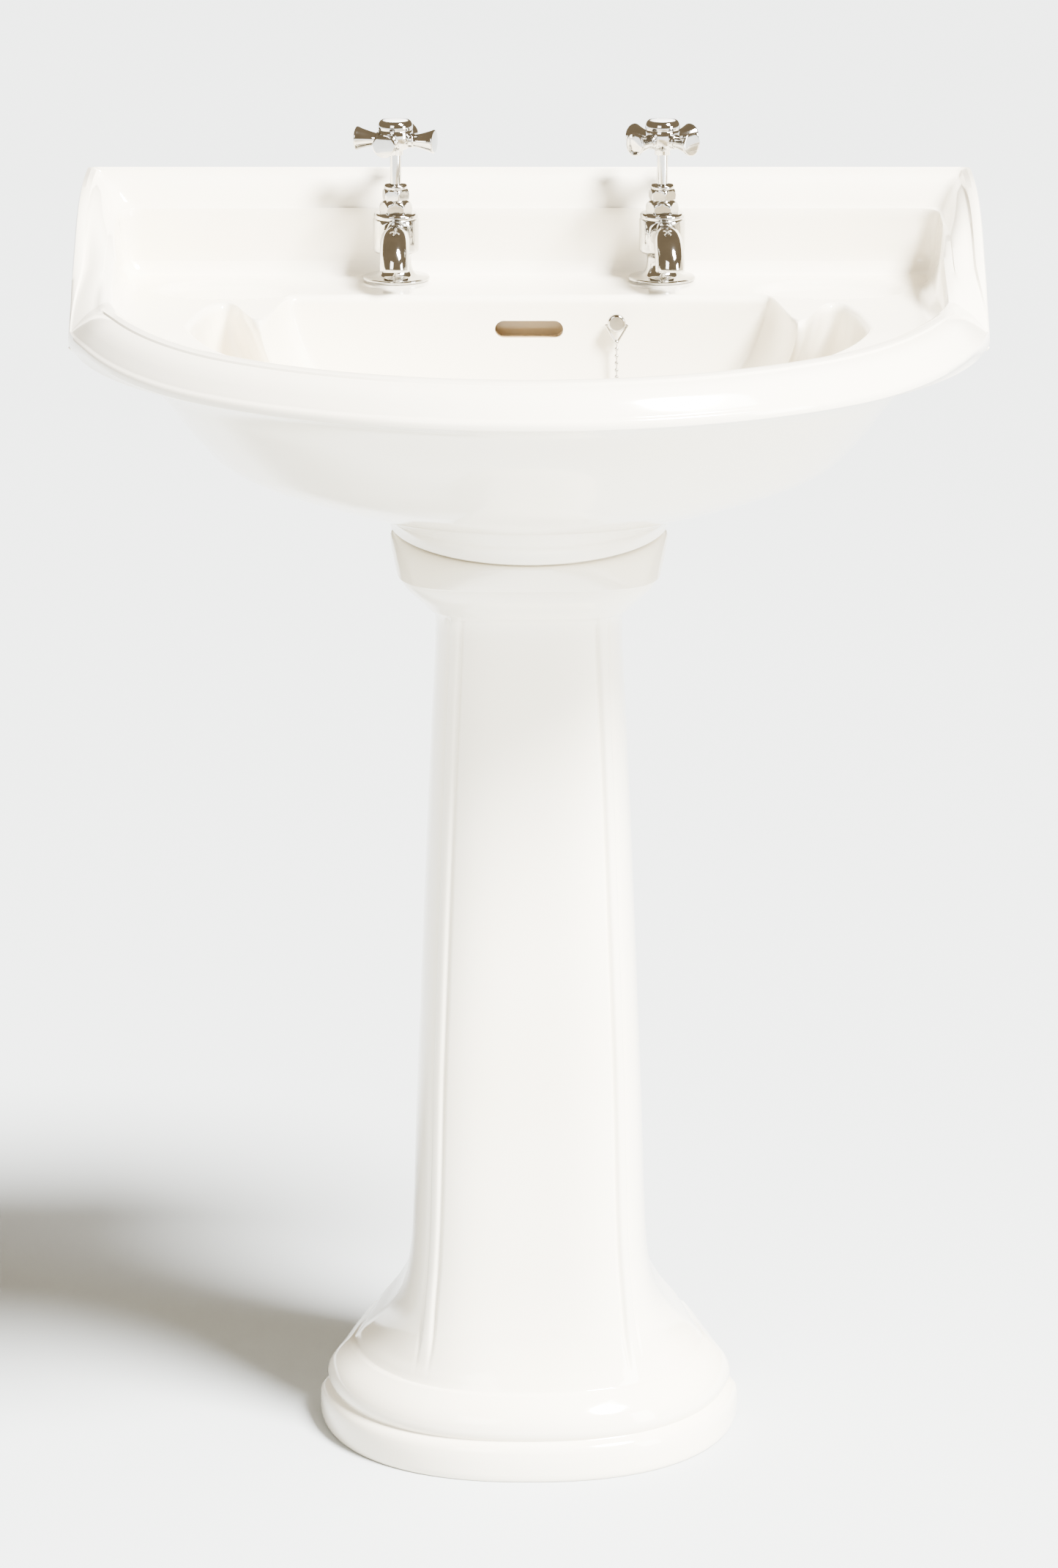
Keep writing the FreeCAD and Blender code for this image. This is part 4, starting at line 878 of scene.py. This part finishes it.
# outlines of (radius, height) in millimetres from the axis and from the ledge
TAIL_NECK = [(9.6, -25.2), (9.2, -24.6), (9.2, -23.4), (9.6, -22.8)]
TAP_BODY = [
    (9.8, 0), (23.4, 0), (23.9, 0.3), (24, 0.8), (23.9, 1.5), (23.3, 2.1), (22.4, 2.35), (16.5, 2.8),
    (14.6, 3.5), (13.1, 4.8), (12, 6.6), (11.3, 8.8), (10.9, 11), (10.75, 13.4), (10.8, 16), (11.5, 17.8),
    (12.9, 18.9), (14.6, 19.5), (15.7, 20.2), (16.2, 21.3), (16.3, 22.6), (16.3, 43), (16.1, 43.5),
    (15.75, 43.7), (15.6, 44), (15.75, 44.4), (15.8, 46.4), (15.5, 47.2), (14.7, 47.9), (13.6, 48), (0, 48)]
BONNET = [
    (0, 44), (11.9, 44), (11.9, 47.9), (11.1, 48.05), (11.7, 48.7), (11.75, 49.6), (11.75, 51.6),
    (11.6, 52.6), (11.3, 53.6), (10.8, 54.6), (10.1, 55.5), (9.3, 56.3), (8.7, 56.9), (8.6, 57.3), (0, 57.3)]
GLAND_NUT = [
    (0, 57.35), (9.2, 57.35), (9.8, 57.7), (10.1, 58.3), (10.1, 61.6), (9.95, 62.6), (9.6, 63.5), (9.0, 64.3),
    (8.5, 64.8), (8.1, 65), (8.3, 65.5), (8.35, 66.5), (8.2, 67.3), (7.7, 67.9), (6.8, 68.1), (4.1, 68.1),
    (4.1, 66), (0, 66)]
# the same from the underside of the hub, and for an arm from the tap's axis
HUB = [
    (0, 0.6), (4.6, 0.6), (4.9, 0.1), (5.4, 0.1), (5.7, 0.6), (5.7, 3.0), (6.0, 3.5), (7.2, 3.9), (9.0, 4.8),
    (10.6, 6.3), (11.7, 8.4), (12.2, 10.8), (12.3, 13), (12.3, 17.2), (12.1, 17.6), (11.9, 17.9),
    (11.9, 18.2), (12.15, 18.5), (12.35, 19), (12.35, 20.4), (12.1, 21.8), (11.5, 23.2), (10.8, 24.1),
    (10, 24.6), (9.4, 24.6), (9.1, 24.2), (9.0, 22.6), (0, 22.6)]
ARM = [
    (0, 4), (5.0, 4), (5.2, 12.8), (5.1, 13.4), (4.8, 13.8), (4.4, 14.1), (4.4, 14.8), (4.75, 16.4),
    (5.4, 19), (6.2, 21.8), (7.1, 24.6), (7.9, 26.8), (8.3, 27.7), (8.4, 28.2), (8.3, 28.6), (7.9, 28.9),
    (7.2, 29.05), (0, 29.3)]
INDEX = [
    (0, 22.7), (8.7, 22.7), (8.9, 23), (8.95, 24), (8.7, 24.5), (8, 24.85), (6, 25.15), (3, 25.35), (0, 25.4)]
BONNET_FLAT = 10.1    # from the axis to a flat of the hexagon
GLAND_FLAT = 8.75
HUB_UP = 89.2
ARM_UP = 10.5


def thread(low, high):
    """Ridges of a screw thread as (radius, height) points, from low to high."""
    root = THREAD_OUTER - 0.9
    points = []
    for turn in range(int((high - low) / THREAD_PITCH)):
        foot = low + turn * THREAD_PITCH
        points += [(root, foot), (THREAD_OUTER, foot + 0.7), (THREAD_OUTER, foot + 1.0), (root, foot + 1.7)]
    return points


def spout():
    """A round tube out of the barrel that bends down, with a rolled mouth and an open bore."""
    around = 72
    path = [(4.0, SPOUT_UP, 0.0)] + [(run, SPOUT_UP, 0.0) for run in np.linspace(10, SPOUT_RUN, 8)]
    for turn in np.linspace(0, SPOUT_SWEEP, 23)[1:]:
        angle = math.radians(turn)
        path.append((SPOUT_RUN + SPOUT_BEND * math.sin(angle),
                     SPOUT_UP - SPOUT_BEND * (1 - math.cos(angle)), angle))
    mouth_out, mouth_up, lean = path[-1]
    along = (math.cos(lean), -math.sin(lean))
    lip = [(0.4, SPOUT_RADIUS - 0.05), (0.9, SPOUT_RADIUS - 0.35), (1.2, SPOUT_RADIUS - 0.9),
           (1.2, SPOUT_BORE + 0.9), (0.9, SPOUT_BORE + 0.3), (0.3, SPOUT_BORE)]
    rings = [(out, up, angle, SPOUT_RADIUS) for out, up, angle in path]
    rings += [(mouth_out + along[0] * step, mouth_up + along[1] * step, lean, radius) for step, radius in lip]
    rings += [(out, up, angle, SPOUT_BORE) for out, up, angle in path[:-1][::-1] if out > 20]
    points = []
    for out, up, angle, radius in rings:
        for a in np.linspace(0, 2 * math.pi, around, endpoint=False):
            rise = radius * math.cos(a)
            forward = out + rise * math.sin(angle)
            points.append((radius * math.sin(a), -forward, up + rise * math.cos(angle)))
    faces = ring_faces(len(rings), around)
    faces.append(tuple(range(around))[::-1])
    faces.append(tuple(range((len(rings) - 1) * around, len(rings) * around)))
    return mesh_object("spout", points, faces)


def tap_body():
    tail = [(0, -55), (9.2, -55)] + thread(-54.6, -25.5) + TAIL_NECK + thread(-22.4, -2.4)
    return boolean(lathe("body", tail + TAP_BODY, 120), [spout()], "UNION")


def hexagon_turned(name, rows, apothem, around=120):
    """A hexagon whose corners are turned off by a (radius, height) outline."""
    angles = np.linspace(0, 2 * math.pi, around, endpoint=False)
    flat = apothem / np.cos((angles + math.pi / 6) % (math.pi / 3) - math.pi / 6)
    rings = [[(min(radius, f) * math.cos(a), min(radius, f) * math.sin(a), height)
              for a, f in zip(angles, flat)] for radius, height in rows]
    return mesh_object(name, np.array(rings).reshape(-1, 3), ring_faces(len(rows), around), 24)


def crosshead():
    """The hub with its four flared arms."""
    arms = []
    for quarter in range(4):
        arm = lathe("arm", ARM, 72)
        arm.data.transform(Matrix.Rotation(math.radians(90), 4, "Y"))
        arm.data.transform(Matrix.Translation((0, 0, ARM_UP)))
        arm.data.transform(Matrix.Rotation(math.radians(90 * quarter), 4, "Z"))
        arms.append(arm)
    return boolean(lathe("hub", HUB, 120), arms, "UNION")


def make_tap(name, side, body_turn, handle_turn):
    """The five pieces that show of one tap, turned about its axis by some degrees."""
    handle = name + "_handle"
    pieces = [
        (tap_body(), "tap_body", body_turn, 0, "root", CHROME, "chrome"),
        (hexagon_turned("bonnet", BONNET, BONNET_FLAT), "bonnet", 30, 0, "root", CHROME, "chrome"),
        (hexagon_turned("gland", GLAND_NUT, GLAND_FLAT), "gland_nut", 12, 0, "root", CHROME, "chrome"),
        (crosshead(), "crosshead", handle_turn, HUB_UP, handle, CHROME, "chrome"),
        (lathe("index", INDEX), "index", 0, HUB_UP, handle, ENAMEL, "index")]
    for piece, part, turn, up, body, material, slot in pieces:
        piece = carry(piece, (side * TAP_ACROSS, TAP_OUT, LEDGE + up), turn)
        piece = remake(piece, f"{name}_{part}_finish")
        settle(piece, material, body, slot, f"{name}_{part}")


# -------- chain

CHAIN_DIAMETER = 0.0032
BEAD_PITCH = 0.0049
LINK_RADIUS = 0.00045
# across, out from the wall, up: from the stirrup, down into the bowl and round to the plug
CHAIN_ROUTE = [
    (61.5, 120.1, 790.6), (61.5, 122.8, 754.0), (62.0, 129.0, 718.5), (66.0, 143.0, 700.5),
    (79.0, 171.0, 699.0), (86.0, 203.0, 700.5), (76.0, 235.0, 700.5), (50.0, 254.0, 699.0),
    (20.0, 251.0, 698.0), (3.0, 228.0, 697.6), (1.0, 201.8, 699.0)]


def chain_line():
    """Points along the smooth line that the chain follows."""
    curve = bpy.data.curves.new("chain_line", "CURVE")
    curve.dimensions = "3D"
    curve.resolution_u = 24
    spline = curve.splines.new("NURBS")
    route = put(CHAIN_ROUTE)
    spline.points.add(len(route) - 1)
    for point, place in zip(spline.points, route):
        point.co = (*place, 1)
    spline.order_u = 3
    spline.use_endpoint_u = True
    thing = add_object("chain_line", curve)
    line = bpy.data.meshes.new_from_object(thing)
    points = [vertex.co.copy() for vertex in line.vertices]
    bpy.data.objects.remove(thing)
    bpy.data.meshes.remove(line)
    return points


def along(points, distance):
    """The place and direction at a distance along a line of points."""
    for start, end in zip(points, points[1:]):
        step = (end - start).length
        if distance <= step:
            return start.lerp(end, distance / step), (end - start).normalized()
        distance -= step
    return points[-1].copy(), (points[-1] - points[-2]).normalized()


def make_chain():
    """Beads with short links between them along the chain's line."""
    points = chain_line()
    length = sum((b - a).length for a, b in zip(points, points[1:]))
    shell = bmesh.new()
    beads = int(length / BEAD_PITCH)
    for number in range(beads + 1):
        place, way = along(points, number * length / beads)
        turn = way.to_track_quat("Z", "Y").to_matrix().to_4x4()
        radius = CHAIN_DIAMETER / 2 * (1.05 if number == 0 else 0.93)
        bmesh.ops.create_uvsphere(shell, u_segments=20, v_segments=14, radius=radius,
                                  matrix=Matrix.Translation(place) @ turn)
        if number < beads:
            beyond, _ = along(points, (number + 0.5) * length / beads)
            bmesh.ops.create_cone(shell, segments=10, radius1=LINK_RADIUS, radius2=LINK_RADIUS,
                                  depth=BEAD_PITCH, cap_ends=True, matrix=Matrix.Translation(beyond) @ turn)
    mesh = bpy.data.meshes.new("chain_beads")
    shell.to_mesh(mesh)
    shell.free()
    mesh.shade_smooth()
    chain = add_object("chain_beads", mesh)
    settle(chain, CHROME, "root", "chrome", "chain")


# -------- CAD nodes that stay

NODE_FINISHES = [
    (CHROME, ["waste_fitting", "plug_cap", "plug_ring", "chain_stay", "chain_stirrup"]),
    (BRASS, ["waste_back_nut", "stay_nut"]),
    (RUBBER, ["plug_body", "trap_inlet_seal", "trap_cup_seal", "trap_outlet_seal"]),
    (WHITE_RUBBER, ["waste_seal", "waste_washer", "stay_washer"]),
    (PLASTIC, ["trap_body", "trap_inlet_nut", "trap_cup", "trap_outlet_nut", "waste_pipe"]),
    (PAD, ["pedestal_seat_pad"])]
TAP_FINISHES = [
    (CHROME, ["spindle"]), (BRASS, ["back_nut", "jumper", "handle_screw"]), (RUBBER, ["valve_washer"]),
    (WHITE_RUBBER, ["deck_washer"]), (PLASTIC, ["under_washer"]), (FIBRE, ["gland_packing"])]


def dress_nodes():
    """Give the CAD's own nodes, which no piece replaces, their materials."""
    finishes = NODE_FINISHES + [
        (material, [f"{tap}_{part}" for tap in ("hot", "cold") for part in parts])
        for material, parts in TAP_FINISHES]
    for material, nodes in finishes:
        for node in nodes:
            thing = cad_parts[node]
            if not thing.material_slots:
                thing.data.materials.append(material)
            for slot in thing.material_slots:
                slot.material = material


# -------- the finished sink

make_basin()
make_pedestal()
make_tap("hot", -1, 0, -15.7)
make_tap("cold", 1, 4.5, 45)
make_chain()
dress_nodes()

# -------- stage


FLOOR_REACH = 60.0    # metres, so that its edge isn't seen from low down


def make_stage():
    mesh = bpy.data.meshes.new("floor")
    corners = [(x * FLOOR_REACH, y * FLOOR_REACH, 0) for x, y in ((-1, -1), (1, -1), (1, 1), (-1, 1))]
    mesh.from_pydata(corners, [], [(0, 1, 2, 3)])
    floor = add_object("floor", mesh)
    material, nodes, links, shader = new_material("pale_floor")
    cloud = object_noise(nodes, links, 0.6, 2.0)
    colour = tint(nodes, links, cloud, (0.50, 0.525, 0.53), (0.52, 0.545, 0.55))
    links.new(colour, shader.inputs["Base Color"])
    shader.inputs["Roughness"].default_value = 0.75
    dress(floor, material)


def area_light(name, place, aim, size, power, colour):
    light = bpy.data.lights.new(name, "AREA")
    light.shape = "RECTANGLE"
    light.size, light.size_y = size
    light.energy = power
    light.color = colour
    thing = add_object(name, light)
    thing.location = place
    thing.rotation_euler = (Vector(aim) - Vector(place)).to_track_quat("-Z", "Y").to_euler()


def sun_light(name, turn, rise, strength, softness, colour):
    """A broad even light from far away: turn is to the right of the front, rise above the floor."""
    light = bpy.data.lights.new(name, "SUN")
    light.energy = strength
    light.angle = math.radians(softness)
    light.color = colour
    turn, rise = math.radians(turn), math.radians(rise)
    way = Vector((math.sin(turn) * math.cos(rise), -math.cos(turn) * math.cos(rise), math.sin(rise)))
    add_object(name, light).rotation_euler = way.to_track_quat("Z", "Y").to_euler()


def make_lights():
    world = bpy.data.worlds.new("studio")
    bpy.context.scene.world = world
    world.use_nodes = True
    background = world.node_tree.nodes["Background"]
    background.inputs["Color"].default_value = (0.66, 0.50, 0.30, 1)
    background.inputs["Strength"].default_value = 0.55
    sun_light("key", 50, 52, 34.0, 16, (1, 0.99, 0.97))
    area_light("key_box", (1.75, -1.25, 2.95), (0, 0.05, 0.75), (0.9, 0.9), 150, (1, 0.985, 0.955))
    area_light("front_box", (-1.5, -3.4, 2.5), (0, 0, 0.6), (1.6, 1.6), 90, (1, 0.99, 0.97))
    area_light("right_box", (3.2, -1.6, 1.1), (0, 0, 0.5), (1.0, 2.2), 220, (0.97, 0.985, 1))


EYE_OUT = 4500.0      # millimetres from the wall
EYE_UP = 1671.0
PITCH = 15.35         # degrees down
LENS = 145.66         # on a sensor 36 mm wide


def make_camera():
    camera = bpy.data.cameras.new("camera")
    camera.lens = LENS
    camera.sensor_width = 36
    camera.clip_end = 200
    thing = add_object("camera", camera)
    thing.location = put([0, EYE_OUT, EYE_UP])
    thing.rotation_euler = (math.radians(90 - PITCH), 0, 0)
    bpy.context.scene.camera = thing


make_stage()
make_lights()
make_camera()
